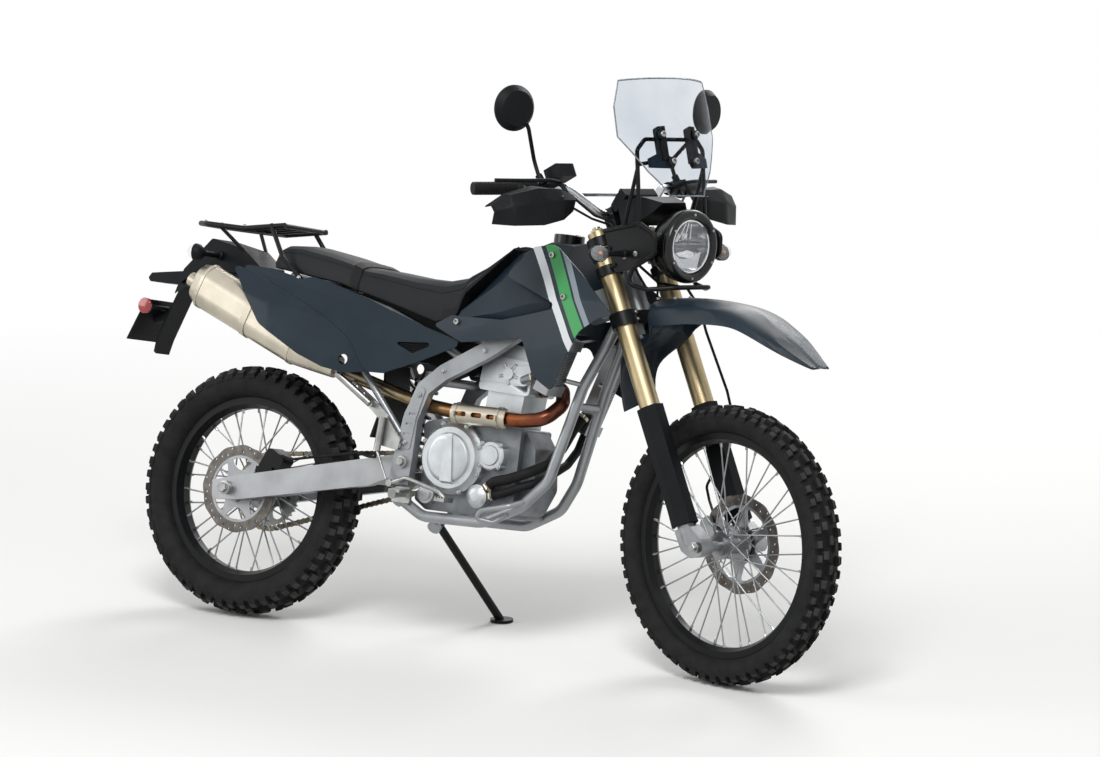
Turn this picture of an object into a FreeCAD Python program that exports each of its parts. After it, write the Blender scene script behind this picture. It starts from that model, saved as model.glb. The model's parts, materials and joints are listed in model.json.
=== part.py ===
import FreeCAD, Part
import math
import os

V = FreeCAD.Vector
os.makedirs("parts", exist_ok=True)

# Overall layout, in mm: x forward, y to the left, z up, x = 0 midway between the axles
wheelbase = 1440.0
rear_radius = 325.0
front_radius = 346.0
rear_half_width = 61.0
front_half_width = 45.0
rake = 26.7
trail = 107.0
steer_angle = -14.75
lean_angle = 12.0
seat_gap = 0.3

# Steering frame: f forward of the steering axis, y to the left, u up along the axis
steer_x = wheelbase / 2 + trail
sin_rake = math.sin(math.radians(rake))
cos_rake = math.cos(math.radians(rake))
axle_u = trail * sin_rake + front_radius * cos_rake
axle_f = front_radius * sin_rake - trail * cos_rake
fork_f = 30.0
fork_y = 98.0
fork_radius = 26.0
slider_radius = 21.5
lower_clamp_u = (948.0, 984.0)
upper_clamp_u = (1158.0, 1184.0)
bar_f = 45.0
bar_u = 1242.0
bar_radius = 11.0
grip_radius = 16.5

# Frame, suspension and running gear
pivot = (-185.0, 449.0)
rear_axle = (-wheelbase / 2, rear_radius)
front_sprocket = (-125.0, 455.0)
rear_sprocket_radius = 98.5
front_sprocket_radius = 35.7
chain_y = 80.0
chain_pitch = 15.875
stand_pivot = (-212.0, 112.0, 300.0)
stand_foot = (-105.0, 310.0)
stand_axis = V(-0.038, 0.771, 0.636)
tube_radius = 14.0


def unit(v):
    w = V(v)
    w.normalize()
    return w


def rod(start, end, radius):
    """Round bar between two points."""
    a = V(*start)
    b = V(*end)
    return Part.makeCylinder(radius, (b - a).Length, a, b - a)


def fuse(shapes):
    """One solid out of touching pieces."""
    whole = shapes[0]
    if len(shapes) > 1:
        whole = shapes[0].fuse(shapes[1:])
    return whole


def mirror(shape):
    return shape.mirror(V(0, 0, 0), V(0, 1, 0))


def both(shape):
    """The piece and its mirror image across the middle plane."""
    return Part.makeCompound([shape, mirror(shape)])


def corner(a, b, c, radius):
    """Tangent points and middle point of the arc that rounds corner b."""
    into = unit(b - a)
    out = unit(c - b)
    turn = into.getAngle(out)
    reach = min(radius * math.tan(turn / 2), 0.48 * (b - a).Length, 0.48 * (c - b).Length)
    radius = reach / math.tan(turn / 2)
    side = unit(out - into)
    middle = b + side * (radius / math.cos(turn / 2) - radius)
    return b - into * reach, middle, b + out * reach


def path(points, bend):
    """Straight runs joined by tangent arcs."""
    spots = [V(*p) for p in points]
    edges = []
    here = spots[0]
    for a, b, c in zip(spots, spots[1:], spots[2:]):
        if unit(b - a).getAngle(unit(c - b)) < 0.02:
            continue
        first, middle, last = corner(a, b, c, bend)
        edges.append(Part.LineSegment(here, first).toShape())
        edges.append(Part.Arc(first, middle, last).toShape())
        here = last
    edges.append(Part.LineSegment(here, spots[-1]).toShape())
    return Part.Wire(edges)


def tube(points, radius, bend=40.0):
    """Round tube bent along the points."""
    start = V(*points[0])
    circle = Part.Circle(start, V(*points[1]) - start, radius).toShape()
    return path(points, bend).makePipeShell([Part.Wire([circle])], True, False)


def outline(points):
    """Closed wire in the side plane from (x, z, corner radius)."""
    spots = [V(p[0], 0, p[1]) for p in points]
    count = len(spots)
    edges = []
    ends = []
    for i in range(count):
        radius = points[i][2] if len(points[i]) > 2 else 0
        if radius:
            ends.append(corner(spots[i - 1], spots[i], spots[(i + 1) % count], radius))
        else:
            ends.append((spots[i], None, spots[i]))
    for i in range(count):
        first, middle, last = ends[i]
        if middle is not None:
            edges.append(Part.Arc(first, middle, last).toShape())
        following = ends[(i + 1) % count][0]
        if (following - last).Length > 0.01:
            edges.append(Part.LineSegment(last, following).toShape())
    return Part.Wire(edges)


def plate(points, y0, y1):
    """Flat plate with a side outline, from y0 to y1."""
    face = Part.Face(outline(points))
    face.translate(V(0, y0, 0))
    return face.extrude(V(0, y1 - y0, 0))


def turned(points, x, z):
    """Piece turned about a crosswise axis at (x, z) from (y, radius) pairs."""
    ring = [V(x, y, z + r) for y, r in points]
    face = Part.Face(Part.makePolygon(ring + ring[:1]))
    return face.revolve(V(x, 0, z), V(0, 1, 0), 360)


def beam(points):
    """Box-section member through (x, y, z, width, height) stations."""
    spots = [V(*p[:3]) for p in points]
    wires = []
    for i, p in enumerate(points):
        ahead = spots[min(i + 1, len(spots) - 1)] - spots[max(i - 1, 0)]
        rise = unit(V(-ahead.z, 0, ahead.x)) * (p[4] / 2)
        wide = V(0, p[3] / 2, 0)
        ring = [spots[i] + wide + rise, spots[i] - wide + rise,
                spots[i] - wide - rise, spots[i] + wide - rise]
        wires.append(Part.makePolygon(ring + ring[:1]))
    return Part.makeLoft(wires, True, True)


def sections(table, ruled=True):
    """Solid through closed rings, each a list of (x, y, z)."""
    wires = []
    for ring in table:
        spots = [V(*p) for p in ring]
        wires.append(Part.makePolygon(spots + spots[:1]))
    return Part.makeLoft(wires, True, ruled)


def skin(stations, thick):
    """Sheet through (x, [(y, z), ...]) stations, its thickness towards the middle plane."""
    table = []
    for x, line in stations:
        outer = [(x, y, z) for y, z in line]
        inner = [(x, y + thick, z) for y, z in reversed(line)]
        table.append(outer + inner)
    return sections(table)


def panel(stations, thick, points):
    """Right-hand bodywork panel: the sheet within a side outline."""
    return skin(stations, thick).common(plate(points, -400, 0))


# Wheels
def tyre_ring(radius, half, seat, flange, flange_y, facets, contact, x, z):
    """Knobbly tyre between the rim's flanges, a lug of its left half at the contact angle."""
    bead = flange_y - seat_gap
    shoulder = radius - lug_depth - shoulder_drop * half
    side = [(bead, seat + seat_gap), (bead, flange), (half * 0.84, flange + 0.10 * (radius - seat)),
            (half * 0.97, shoulder - 4)]
    core = turned([(-y, r) for y, r in side] + [(y, r) for y, r in reversed(side)], 0, 0)
    tread = lugged_half(radius, half, facets, contact, 1)
    tread += lugged_half(radius, half, facets, contact + math.pi / facets, -1)
    tyre = core.fuse(tread)
    tyre.translate(V(x, 0, z))
    return tyre


def lugged_half(radius, half, facets, phase, side):
    """Flat-faced carcass of one half of the tread, and its lugs."""
    crown = radius - lug_depth
    step = 2 * math.pi / facets
    rings = []
    for y, flat in ((0, crown), (side * half * 0.97, crown - shoulder_drop * half)):
        reach = flat / math.cos(step / 2)
        rings.append([(reach * math.cos(phase + step * (i + 0.5)), y,
                       reach * math.sin(phase + step * (i + 0.5))) for i in range(facets)])
    inside = rod((0, -half, 0), (0, half, 0), crown - shoulder_drop * half - 8)
    pieces = [sections(rings).cut(inside)]
    for inner, outer, drop_in, drop_out, length, per_facet in lug_rows:
        for share in range(per_facet):
            shift = ((share + 0.5) / per_facet - 0.5) * 2 * crown * math.tan(step / 2)
            lug = one_lug(radius, half, side, shift, inner, outer, drop_in, drop_out, length)
            for i in range(facets):
                piece = lug.copy()
                piece.rotate(V(0, 0, 0), V(0, 1, 0), -math.degrees(phase + step * i))
                pieces.append(piece)
    return pieces


def one_lug(radius, half, side, shift, inner, outer, drop_in, drop_out, length):
    """Tapered lug standing on the facet that faces forward."""
    rings = []
    for tip, wide in ((False, length), (True, 0.84 * length)):
        ring = []
        for share, drop, along in ((inner, drop_in, -0.5), (inner, drop_in, 0.5),
                                   (outer, drop_out, 0.5), (outer, drop_out, -0.5)):
            low = radius - lug_depth - shoulder_drop * half * share - 3
            ring.append((radius - drop * half if tip else low, side * share * half,
                         shift + along * wide))
        rings.append(ring)
    return sections(rings)


def rim_ring(seat, flange, flange_y, well, x, z):
    """Spoked rim: two flanges, bead seats and a well."""
    out = flange_y + 3
    half = [(out, flange), (flange_y, flange), (flange_y, seat)]
    under = [(out, seat - 5), (0.4 * out, well)]
    ring = [(-y, r) for y, r in half] + [(y, r) for y, r in reversed(half)]
    ring += [(y, r) for y, r in under] + [(-y, r) for y, r in reversed(under)]
    return turned(ring, x, z)


def spokes(count, hub_radius, hub_y, rim_radius, rim_y, sweep, wire, x, z):
    """Crossed wire spokes from both hub flanges to the rim."""
    rods = []
    for i in range(count):
        side = 1 if i % 2 else -1
        lead = 1 if (i // 2) % 2 else -1
        rim_turn = 2 * math.pi * (i + 0.5) / count
        hub_turn = rim_turn + lead * math.radians(sweep)
        a = (x + hub_radius * math.cos(hub_turn), side * hub_y, z + hub_radius * math.sin(hub_turn))
        b = (x + rim_radius * math.cos(rim_turn), side * rim_y, z + rim_radius * math.sin(rim_turn))
        rods.append(rod(a, b, wire))
    return rods


def disc_ring(y0, y1, radius, inner, spider, arms, x, z):
    """Brake disc: drilled rotor on a carrier with slots between its arms."""
    disc = turned([(y0, inner), (y1, inner), (y1, radius), (y0, radius)], x, z)
    middle = 0.5 * (inner + spider)
    drilled = 0.5 * (spider + radius) + 2
    cuts = []
    for reach, bore, count in ((middle, 2.2 * middle / arms, arms), (drilled, 4, 2 * arms)):
        for i in range(count):
            turn = 2 * math.pi * i / count
            spot = V(x + reach * math.cos(turn), y0 - 1, z + reach * math.sin(turn))
            cuts.append(Part.makeCylinder(bore, y1 - y0 + 2, spot, V(0, 1, 0)))
    return disc.cut(cuts)


lug_depth = 9.5
shoulder_drop = 0.38
# Rows of lugs on each half: inner and outer edge, drop of the tip at both (shares of the half
# width), length, lugs on each facet
lug_rows = [(0.05, 0.46, 0.0, 0.045, 34, 1), (0.55, 0.99, 0.12, 0.35, 25, 2)]
tyre_facets = 24
front_seat = 266.5
front_flange = 278.0
front_well = 252.0
front_flange_y = 21.5
rear_seat = 228.5
rear_flange = 241.0
rear_well = 213.0
rear_flange_y = 29.0


def front_tyre():
    return tyre_ring(front_radius, front_half_width, front_seat, front_flange,
                     front_flange_y, tyre_facets, front_contact, axle_f, axle_u)


def front_rim():
    return rim_ring(front_seat, front_flange, front_flange_y, front_well, axle_f, axle_u)


def front_hub():
    body = turned([(-40, 8.3), (-40, 24), (-33, 24), (-33, 34), (-27, 34), (-24, 22), (24, 22),
                   (27, 42), (36, 42), (36, 24), (42, 24), (42, 8.3)], axle_f, axle_u)
    wires = spokes(36, 31, 28, front_well + 2, 7, 55, 1.9, axle_f, axle_u)
    return fuse([body] + wires).cut(front_rim())


def front_disc():
    return disc_ring(42.3, 46.3, 125, 24.3, 98, 10, axle_f, axle_u)


def rear_tyre():
    return tyre_ring(rear_radius, rear_half_width, rear_seat, rear_flange,
                     rear_flange_y, tyre_facets, rear_contact, *rear_axle)


def rear_rim():
    return rim_ring(rear_seat, rear_flange, rear_flange_y, rear_well, *rear_axle)


def rear_hub():
    body = turned([(-62, 10.3), (-62, 26), (-52, 26), (-52, 40), (-42, 40), (-36, 28), (30, 28),
                   (38, 48), (50, 48), (50, 34), (74, 34), (74, 10.3)], *rear_axle)
    wires = spokes(36, 37, 44, rear_well + 2, 9, 50, 2.1, *rear_axle)
    return fuse([body] + wires).cut(rear_rim())


def rear_disc():
    return disc_ring(-66.3, -62.3, 115, 24.3, 88, 10, *rear_axle)


def rear_sprocket():
    """Toothed driven wheel on the left of the rear hub."""
    teeth = 39
    tip = rear_sprocket_radius - 4.8
    ring = []
    for i in range(teeth):
        turn = 2 * math.pi * i / teeth
        for part, radius in ((-0.25, tip - 5), (-0.12, tip), (0.12, tip), (0.25, tip - 5)):
            angle = turn + part * 2 * math.pi / teeth
            ring.append(V(rear_axle[0] + radius * math.cos(angle), chain_y - 3,
                          rear_axle[1] + radius * math.sin(angle)))
    blank = Part.Face(Part.makePolygon(ring + ring[:1])).extrude(V(0, 6, 0))
    bore = rod((rear_axle[0], 60, rear_axle[1]), (rear_axle[0], 100, rear_axle[1]), 34.3)
    cuts = [bore]
    for i in range(6):
        turn = 2 * math.pi * i / 6
        x = rear_axle[0] + 62 * math.cos(turn)
        z = rear_axle[1] + 62 * math.sin(turn)
        cuts.append(rod((x, 60, z), (x, 100, z), 17))
    return blank.cut(cuts)


def drive_chain():
    """Closed run of side plates over both sprockets."""
    ax, az = front_sprocket
    bx, bz = rear_axle
    span = math.hypot(ax - bx, az - bz)
    slope = math.atan2(az - bz, ax - bx)
    split = math.asin((rear_sprocket_radius - front_sprocket_radius) / span)

    def band(inner, outer, y0, y1):
        rings = []
        for off in (outer, inner):
            big = rear_sprocket_radius + off
            small = front_sprocket_radius + off
            up = slope + math.pi / 2 - split
            down = slope - math.pi / 2 + split

            def spot(cx, cz, radius, angle):
                return V(cx + radius * math.cos(angle), y0, cz + radius * math.sin(angle))
            back = slope + math.pi
            edges = [Part.LineSegment(spot(ax, az, small, up), spot(bx, bz, big, up)).toShape(),
                     Part.Arc(spot(bx, bz, big, up), spot(bx, bz, big, back),
                              spot(bx, bz, big, down)).toShape(),
                     Part.LineSegment(spot(bx, bz, big, down), spot(ax, az, small, down)).toShape(),
                     Part.Arc(spot(ax, az, small, down), spot(ax, az, small, slope),
                              spot(ax, az, small, up)).toShape()]
            rings.append(Part.Face(Part.Wire(edges)).extrude(V(0, y1 - y0, 0)))
        return rings[0].cut(rings[1])

    rollers = band(-4.0, 4.0, chain_y - 5.0, chain_y + 5.0)
    inner = [band(-6.0, 6.0, chain_y + y, chain_y + y + 2) for y in (-7, 5)]
    return fuse([rollers] + inner + outer_plates(span, slope, split))


def outer_plates(span, slope, split):
    """Six-sided outer side plates at every second link round the chain."""
    ax, az = front_sprocket
    bx, bz = rear_axle
    run = span * math.cos(split)
    wrap_rear = (math.pi + 2 * split) * rear_sprocket_radius
    wrap_front = (math.pi - 2 * split) * front_sprocket_radius
    around = 2 * run + wrap_rear + wrap_front
    count = round(around / (2 * chain_pitch))
    half = [(-12, 0), (-8, 6.8), (8, 6.8), (12, 0), (8, -6.8), (-8, -6.8)]
    pieces = []
    for i in range(count):
        gone = around * i / count
        if gone < run:
            angle = slope + math.pi / 2 - split
            x = ax + front_sprocket_radius * math.cos(angle) - gone * math.cos(slope - split)
            z = az + front_sprocket_radius * math.sin(angle) - gone * math.sin(slope - split)
        elif gone < run + wrap_rear:
            angle = slope + math.pi / 2 - split + (gone - run) / rear_sprocket_radius
            x = bx + rear_sprocket_radius * math.cos(angle)
            z = bz + rear_sprocket_radius * math.sin(angle)
        elif gone < 2 * run + wrap_rear:
            angle = slope - math.pi / 2 + split
            on = gone - run - wrap_rear
            x = bx + rear_sprocket_radius * math.cos(angle) + on * math.cos(slope + split)
            z = bz + rear_sprocket_radius * math.sin(angle) + on * math.sin(slope + split)
        else:
            angle = slope - math.pi / 2 + split + (gone - 2 * run - wrap_rear) / front_sprocket_radius
            x = ax + front_sprocket_radius * math.cos(angle)
            z = az + front_sprocket_radius * math.sin(angle)
        ahead = (-math.sin(angle), math.cos(angle))
        outward = (math.cos(angle), math.sin(angle))
        for y in (-8.5, 6.5):
            ring = [V(x + t * ahead[0] + r * outward[0], chain_y + y, z + t * ahead[1] + r * outward[1])
                    for t, r in half]
            pieces.append(Part.Face(Part.makePolygon(ring + ring[:1])).extrude(V(0, 2, 0)))
    return pieces


# Frame
spar_line = [(340, 38, 925, 30, 60), (285, 52, 905, 28, 52), (150, 88, 855, 26, 46),
             (16, 108, 752, 26, 44), (-96, 114, 686, 26, 42), (-150, 115, 640, 26, 42),
             (-178, 115, 560, 26, 44), (-186, 115, 470, 28, 56), (-192, 115, 395, 28, 60)]


def frame_spars():
    """Perimeter beams from the steering head down to the swingarm pivot."""
    beams = []
    for side in (1, -1):
        beams.append(beam([(x, side * y, z, w, h) for x, y, z, w, h in spar_line]))
    head_low = steer_spot(0, lower_clamp_u[1] + 1)
    head_high = steer_spot(0, upper_clamp_u[0] - 1)
    head = rod(head_low, head_high, 27)
    bore = rod(steer_spot(0, 900), steer_spot(0, 1250), 15 + seat_gap)
    gusset = beam([(346, 0, 905, 70, 56), (290, 0, 890, 84, 56)])
    cross = rod((-140, -104, 662), (-140, 104, 662), 12)
    bolt = rod((pivot[0], -134, pivot[1]), (pivot[0], 134, pivot[1]), 10)
    nuts = [rod((pivot[0], s * 129, pivot[1]), (pivot[0], s * 137, pivot[1]), 16) for s in (1, -1)]
    guards = [pivot_guard(s) for s in (1, -1)]
    return fuse([head, gusset, cross, bolt] + beams + nuts + guards).cut(bore)


def pivot_guard(side):
    """Slotted guard plate on the outer face of a spar, held by two bolts."""
    cover = plate([(-203, 482, 8), (-168, 482, 8), (-160, 560, 10), (-140, 640, 10), (-166, 644, 10),
                   (-196, 572, 10)], 127.5, 131)
    slots = [Part.makeBox(20, 20, 6, V(x - 10, 120, z - 3))
             for x, z in ((-182, 520), (-178, 546), (-172, 572))]
    heads = [rod((x, 130, z), (x, 134, z), 6) for x, z in ((-184, 498), (-156, 622))]
    guard = fuse([cover.cut(slots)] + heads)
    return guard if side > 0 else mirror(guard)


def steer_spot(f, u, y=0.0):
    """Point of the steering frame, wheel straight ahead, in the motorcycle's frame."""
    return (steer_x - u * sin_rake + f * cos_rake, y, u * cos_rake + f * sin_rake)


def frame_cradle():
    """Double downtubes and cradle under the engine, with the right guard loop."""
    tubes = []
    for side in (1, -1):
        line = [(338, 20, 868), (316, 42, 790), (276, 58, 689), (215, 70, 445), (160, 98, 372),
                (60, 108, 322), (-120, 108, 318), (-185, 108, 352), (-192, 108, 366)]
        tubes.append(tube([(x, side * y, z) for x, y, z in line], tube_radius, 70))
    tie = rod((262, -60, 640), (262, 60, 640), 10)
    low = rod((-120, -108, 318), (-120, 108, 318), 11)
    loop = tube([(172, -112, 386), (150, -140, 372), (84, -162, 352), (72, -162, 332),
                 (110, -140, 326), (130, -112, 350)], 7, 14)
    lugs = [rod((-205, s * 108, 345), (-180, s * 108, 372), 16) for s in (1, -1)]
    return fuse(tubes + [tie, low, loop] + lugs + stand_bracket()).cut(frame_spars())


def subframe():
    """Rear rails and their diagonal stays."""
    tubes = []
    for side in (1, -1):
        rail = [(-68, 100, 728), (-150, 100, 772), (-300, 98, 826), (-450, 96, 862), (-735, 84, 893)]
        stay = [(-206, 122, 521), (-338, 124, 668), (-432, 99, 852)]
        tubes.append(tube([(x, side * y, z) for x, y, z in rail], 11, 60))
        tubes.append(tube([(x, side * y, z) for x, y, z in stay], 9, 60))
    ties = [rod((x, -y, z), (x, y, z), 8) for x, y, z in ((-420, 96, 855), (-700, 85, 877))]
    return fuse(tubes + ties).cut(frame_spars())


def swingarm():
    """Box-section arms, pivot tube and cross box."""
    parts = []
    arm_line = [(-176, 84, 449, 28, 46), (-236, 86, 436, 28, 54), (-300, 97, 412, 28, 70),
                (-690, 107, 329, 26, 62), (-765, 107, 316, 26, 50)]
    for side in (1, -1):
        parts.append(beam([(x, side * y, z, w, h) for x, y, z, w, h in arm_line]))
    parts.append(beam([(-262, 0, 426, 176, 50), (-340, 0, 406, 176, 52)]))
    parts.append(rod((pivot[0], -98, pivot[1]), (pivot[0], 98, pivot[1]), 24))
    x, z = rear_axle
    bolt_bore = rod((pivot[0], -140, pivot[1]), (pivot[0], 140, pivot[1]), 10 + seat_gap)
    axle_bore = rod((x, -140, z), (x, 140, z), 10 + seat_gap)
    chain_room = drive_room()
    return fuse(parts).cut([bolt_bore, axle_bore, chain_room])


def drive_room():
    """Space that the chain takes through the cross box."""
    return Part.makeBox(160, 24, 200, V(-370, chain_y - 12, 300)).cut(
        Part.makeBox(160, 30, 52, V(-370, chain_y - 15, 384)))


def rear_axle_set():
    """Rear axle with nuts, chain adjusters and spacers."""
    x, z = rear_axle
    shaft = rod((x, -136, z), (x, 136, z), 10)
    nuts = [rod((x, s * 121, z), (x, s * 134, z), 17) for s in (1, -1)]
    spacer = [rod((x, 74.3, z), (x, 93.5, z), 15), rod((x, -93.5, z), (x, -62.3, z), 15)]
    return fuse([shaft] + nuts + spacer)


def rear_shock():
    """Coil spring round its damper, between the swingarm and the frame."""
    coils = 8
    pitch = 21.0
    line = [(0, 22), (40, 22), (40, 36)]
    for i in range(coils):
        foot = 44 + pitch * i
        line += [(foot, 25), (foot + 5, 34), (foot + 10, 34), (foot + 15, 25)]
    top_seat = 44 + pitch * coils
    line += [(top_seat, 36), (top_seat + 6, 36), (top_seat + 6, 20), (246, 20)]
    ring = [V(r, 0, u) for u, r in [(0, 0)] + line + [(246, 0)]]
    shock = Part.Face(Part.makePolygon(ring + ring[:1])).revolve(V(0, 0, 0), V(0, 0, 1), 360)
    shock.rotate(V(0, 0, 0), V(0, 1, 0), 10.2)
    shock.translate(V(-258, 0, 446))
    return shock.cut(swingarm())


# Engine
def crankcase():
    """Crankcase block, closed."""
    main = plate([(-168, 556, 20), (-152, 500, 10), (-152, 400, 10), (-168, 360, 10),
                  (-130, 336, 20), (60, 336, 30), (128, 352, 20), (128, 568, 8), (-20, 568, 8),
                  (-90, 574, 20)], -84, 62)
    nose = plate([(100, 345), (140, 352, 30), (172, 420, 30), (160, 520, 20), (124, 566, 4),
                  (100, 566)], -60, 50)
    lug = rod((110, -88.4, 348), (110, 88.4, 348), 10)
    return fuse([main, nose, lug])


def engine_covers():
    """Round side covers with their bolts, water pump, filler and flywheel cover."""
    clutch = turned([(-84, 0), (-84, 92), (-104, 92), (-112, 84), (-122, 78), (-122, 64), (-128, 60),
                     (-131, 52), (-131, 0)], -55, 474)
    ridge = sections([[(-60, -130, 536), (-44, -130, 536), (-44, -134, 530), (-60, -134, 530)],
                      [(-66, -120, 408), (-30, -120, 408), (-30, -136, 414), (-66, -136, 414)]])
    timing = turned([(-84, 0), (-84, 38), (-106, 38), (-110, 34), (-110, 26), (-114, 24), (-114, 0)],
                    60, 492)
    pump = turned([(-84, 0), (-84, 30), (-112, 30), (-118, 22), (-122, 12), (-122, 0)], 35, 386)
    filler = turned([(-84, 0), (-84, 24), (-108, 24), (-108, 16), (-114, 16), (-114, 0)], -120, 376)
    flywheel = turned([(62, 0), (62, 78), (88, 78), (96, 70), (96, 30), (102, 26), (102, 0)], 40, 450)
    # Rings of bolt bosses: middle x and z, ring radius, count, boss y from and to
    right = bolt_ring(-55, 474, 90, 8, -84, -109) + bolt_ring(60, 492, 38, 4, -84, -110)
    left = bolt_ring(40, 450, 77, 7, 62, 92)
    return Part.makeCompound([fuse([clutch, ridge, timing] + right), pump, filler,
                              fuse([flywheel] + left)])


def bolt_ring(x, z, reach, count, y0, y1):
    """Bolt bosses spaced round a cover's rim."""
    pieces = []
    for i in range(count):
        turn = 2 * math.pi * (i + 0.5) / count
        bx = x + reach * math.cos(turn)
        bz = z + reach * math.sin(turn)
        pieces.append(rod((bx, y0, bz), (bx, y1, bz), 6.5))
    return pieces


def output_sprocket():
    """Toothed drive sprocket on the engine's output shaft."""
    teeth = 14
    tip = front_sprocket_radius - 4.4
    ring = []
    for i in range(teeth):
        turn = 2 * math.pi * i / teeth
        for part, radius in ((-0.28, tip - 5), (-0.14, tip), (0.14, tip), (0.28, tip - 5)):
            angle = turn + part * 2 * math.pi / teeth
            ring.append(V(front_sprocket[0] + radius * math.cos(angle), chain_y - 3,
                          front_sprocket[1] + radius * math.sin(angle)))
    blank = Part.Face(Part.makePolygon(ring + ring[:1])).extrude(V(0, 6, 0))
    shaft = rod((front_sprocket[0], 62, front_sprocket[1]),
                (front_sprocket[0], 92, front_sprocket[1]), 13)
    return fuse([blank, shaft])


def cylinder():
    """Cylinder barrel, head and valve cover."""
    barrel = plate([(-8, 568), (98, 568), (108, 660), (0, 662)], -56, 56)
    head = plate([(-26, 656, 10), (124, 650, 10), (134, 735, 14), (-18, 748, 14)], -66, 60)
    cover = plate([(-14, 742, 6), (128, 730, 6), (122, 768, 14), (20, 786, 14)], -60, 54)
    boss = rod((112, -66, 690), (112, -80, 690), 16)
    neck = rod((112, -76, 690), (150, -96, 700), 12)
    port = rod((118, -14, 682), (134, -14, 682), 32)
    plug = rod((60, -66, 702), (60, -72, 702), 15)
    ribs = [rod((60, -64, 702), (60 + 30 * math.cos(a), -64, 702 + 30 * math.sin(a)), 4.5)
            for a in (math.radians(54 + 72 * i) for i in range(5))]
    bolts = [rod((x, s * (57 if s > 0 else 63), z), (x, s * (50 if s > 0 else 56), z), 6)
             for s in (1, -1) for x, z in ((4, 764), (110, 752))]
    grooves = [Part.makeBox(150, 4, 4, V(-30, -67.5, z)) for z in (674, 724)]
    return fuse([barrel, head.cut(grooves), cover, boss, neck, port, plug] + ribs + bolts)


def intake():
    """Intake boot, throttle body and closed air box."""
    boot = rod((-25, 0, 700), (-86, 0, 700), 26)
    body = rod((-58, -52, 704), (-58, 48, 704), 20)
    box = plate([(-84, 690, 8), (-84, 770, 8), (-150, 805.5, 8), (-400, 869.5, 8), (-430, 700, 20),
                 (-320, 690, 10), (-300, 705, 8), (-180, 705, 8)], -78, 78)
    return fuse([boot, body, box])


def exhaust_pipe():
    """Header out of the head, round the front and back along the right side."""
    header = tube([(134.4, -14, 682), (192, -14, 682), (226, -62, 640), (206, -108, 598),
                   (140, -112, 588), (10, -112, 588), (-60, -96, 590), (-160, -78, 598),
                   (-250, -80, 616), (-310, -84, 632), (-390, -138, 660), (-418, -138, 670)], 18, 44)
    flange = rod((134.3, -14, 682), (142, -14, 682), 30)
    return fuse([header, flange])


def heat_guard():
    """Pierced guard over the header."""
    line = ((104, -112, 588), (-56, -112, 588))
    shell = rod(*line, 27).cut(rod(*line, 24))
    keep = Part.makeBox(170, 24, 70, V(-60, -146, 553))
    slots = []
    for x in (-24, 22, 68):
        slots.append(rod((x - 10, -146, 588), (x - 10, -110, 588), 6))
        slots.append(rod((x + 10, -146, 588), (x + 10, -110, 588), 6))
        slots.append(Part.makeBox(20, 42, 12, V(x - 10, -152, 582)))
    posts = [rod((x, -130.3, 588), (x, -137, 588), 6) for x in (92, 45, -1, -46)]
    return fuse([shell.common(keep).cut(slots)] + posts)


def oval(half_y, half_z):
    """Flattened circle, two straights and two arcs, about the origin."""
    flat = half_z - half_y
    top = Part.Arc(V(0, half_y, flat), V(0, 0, half_z), V(0, -half_y, flat)).toShape()
    low = Part.Arc(V(0, -half_y, -flat), V(0, 0, -half_z), V(0, half_y, -flat)).toShape()
    left = Part.LineSegment(V(0, half_y, -flat), V(0, half_y, flat)).toShape()
    right = Part.LineSegment(V(0, -half_y, flat), V(0, -half_y, -flat)).toShape()
    return Part.Wire([top, right, low, left])


muffler_slope = 21.5


def muffler():
    """Oval silencer with a tapered front, end cap and outlet."""
    table = [(-466, 22, 30), (-400, 34, 44), (-330, 41, 58), (0, 42, 60), (26, 34, 50), (34, 24, 38)]
    pieces = []
    for (x0, y0, z0), (x1, y1, z1) in zip(table, table[1:]):
        a = oval(y0, z0)
        a.translate(V(-x0 - 34, 0, 0))
        b = oval(y1, z1)
        b.translate(V(-x1 - 34, 0, 0))
        pieces.append(Part.makeLoft([a, b], True, True))
    outlet = rod((-90, 0, -6), (-60, 0, -6), 19)
    can = fuse(pieces + [outlet])
    can.rotate(V(0, 0, 0), V(0, 1, 0), muffler_slope)
    can.translate(V(-812, -138, 826))
    return can.cut(exhaust_pipe())


def radiators():
    """Left and right radiators with their side tanks."""
    table = [(228, 125, 688, 236), (238, -125, 735, 150)]
    pieces = []
    for x, y, z, tall in table:
        core = Part.makeBox(34, 62, tall - 30, V(-17, -31, -tall / 2 + 15))
        tanks = [Part.makeBox(42, 76, 26, V(-21, -38, s)) for s in (-tall / 2, tall / 2 - 26)]
        block = fuse([core] + tanks)
        block.rotate(V(0, 0, 0), V(0, 1, 0), 19)
        block.translate(V(x, y, z))
        side = math.copysign(1, y)
        lug = rod((x + 6, side * 94, 700), (277, side * 60, 694), 6)
        pieces.append(fuse([block, lug.cut(frame_cradle())]))
    return Part.makeCompound(pieces)


def coolant_hoses():
    """Black hoses with their clamps, from the pump and the head to the radiators."""
    lower = tube([(59, -106, 408), (80, -110, 428), (118, -108, 438), (166, -100, 458),
                  (196, -52, 486), (190, 20, 530), (192, 60, 580), (205, 86.5, 620)], 13, 30)
    upper = tube([(150.6, -96, 701), (182, -110, 712), (214, -118, 724)], 11, 20)
    cross = tube([(67, -104, 390), (110, -106, 402), (148, -97, 420), (175, -82, 433),
                  (188, -40, 450), (186, 60, 490), (187, 104, 530), (190, 122, 574)], 11, 36)
    return Part.makeCompound([lower, upper, cross]).cut(radiators())


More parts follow.
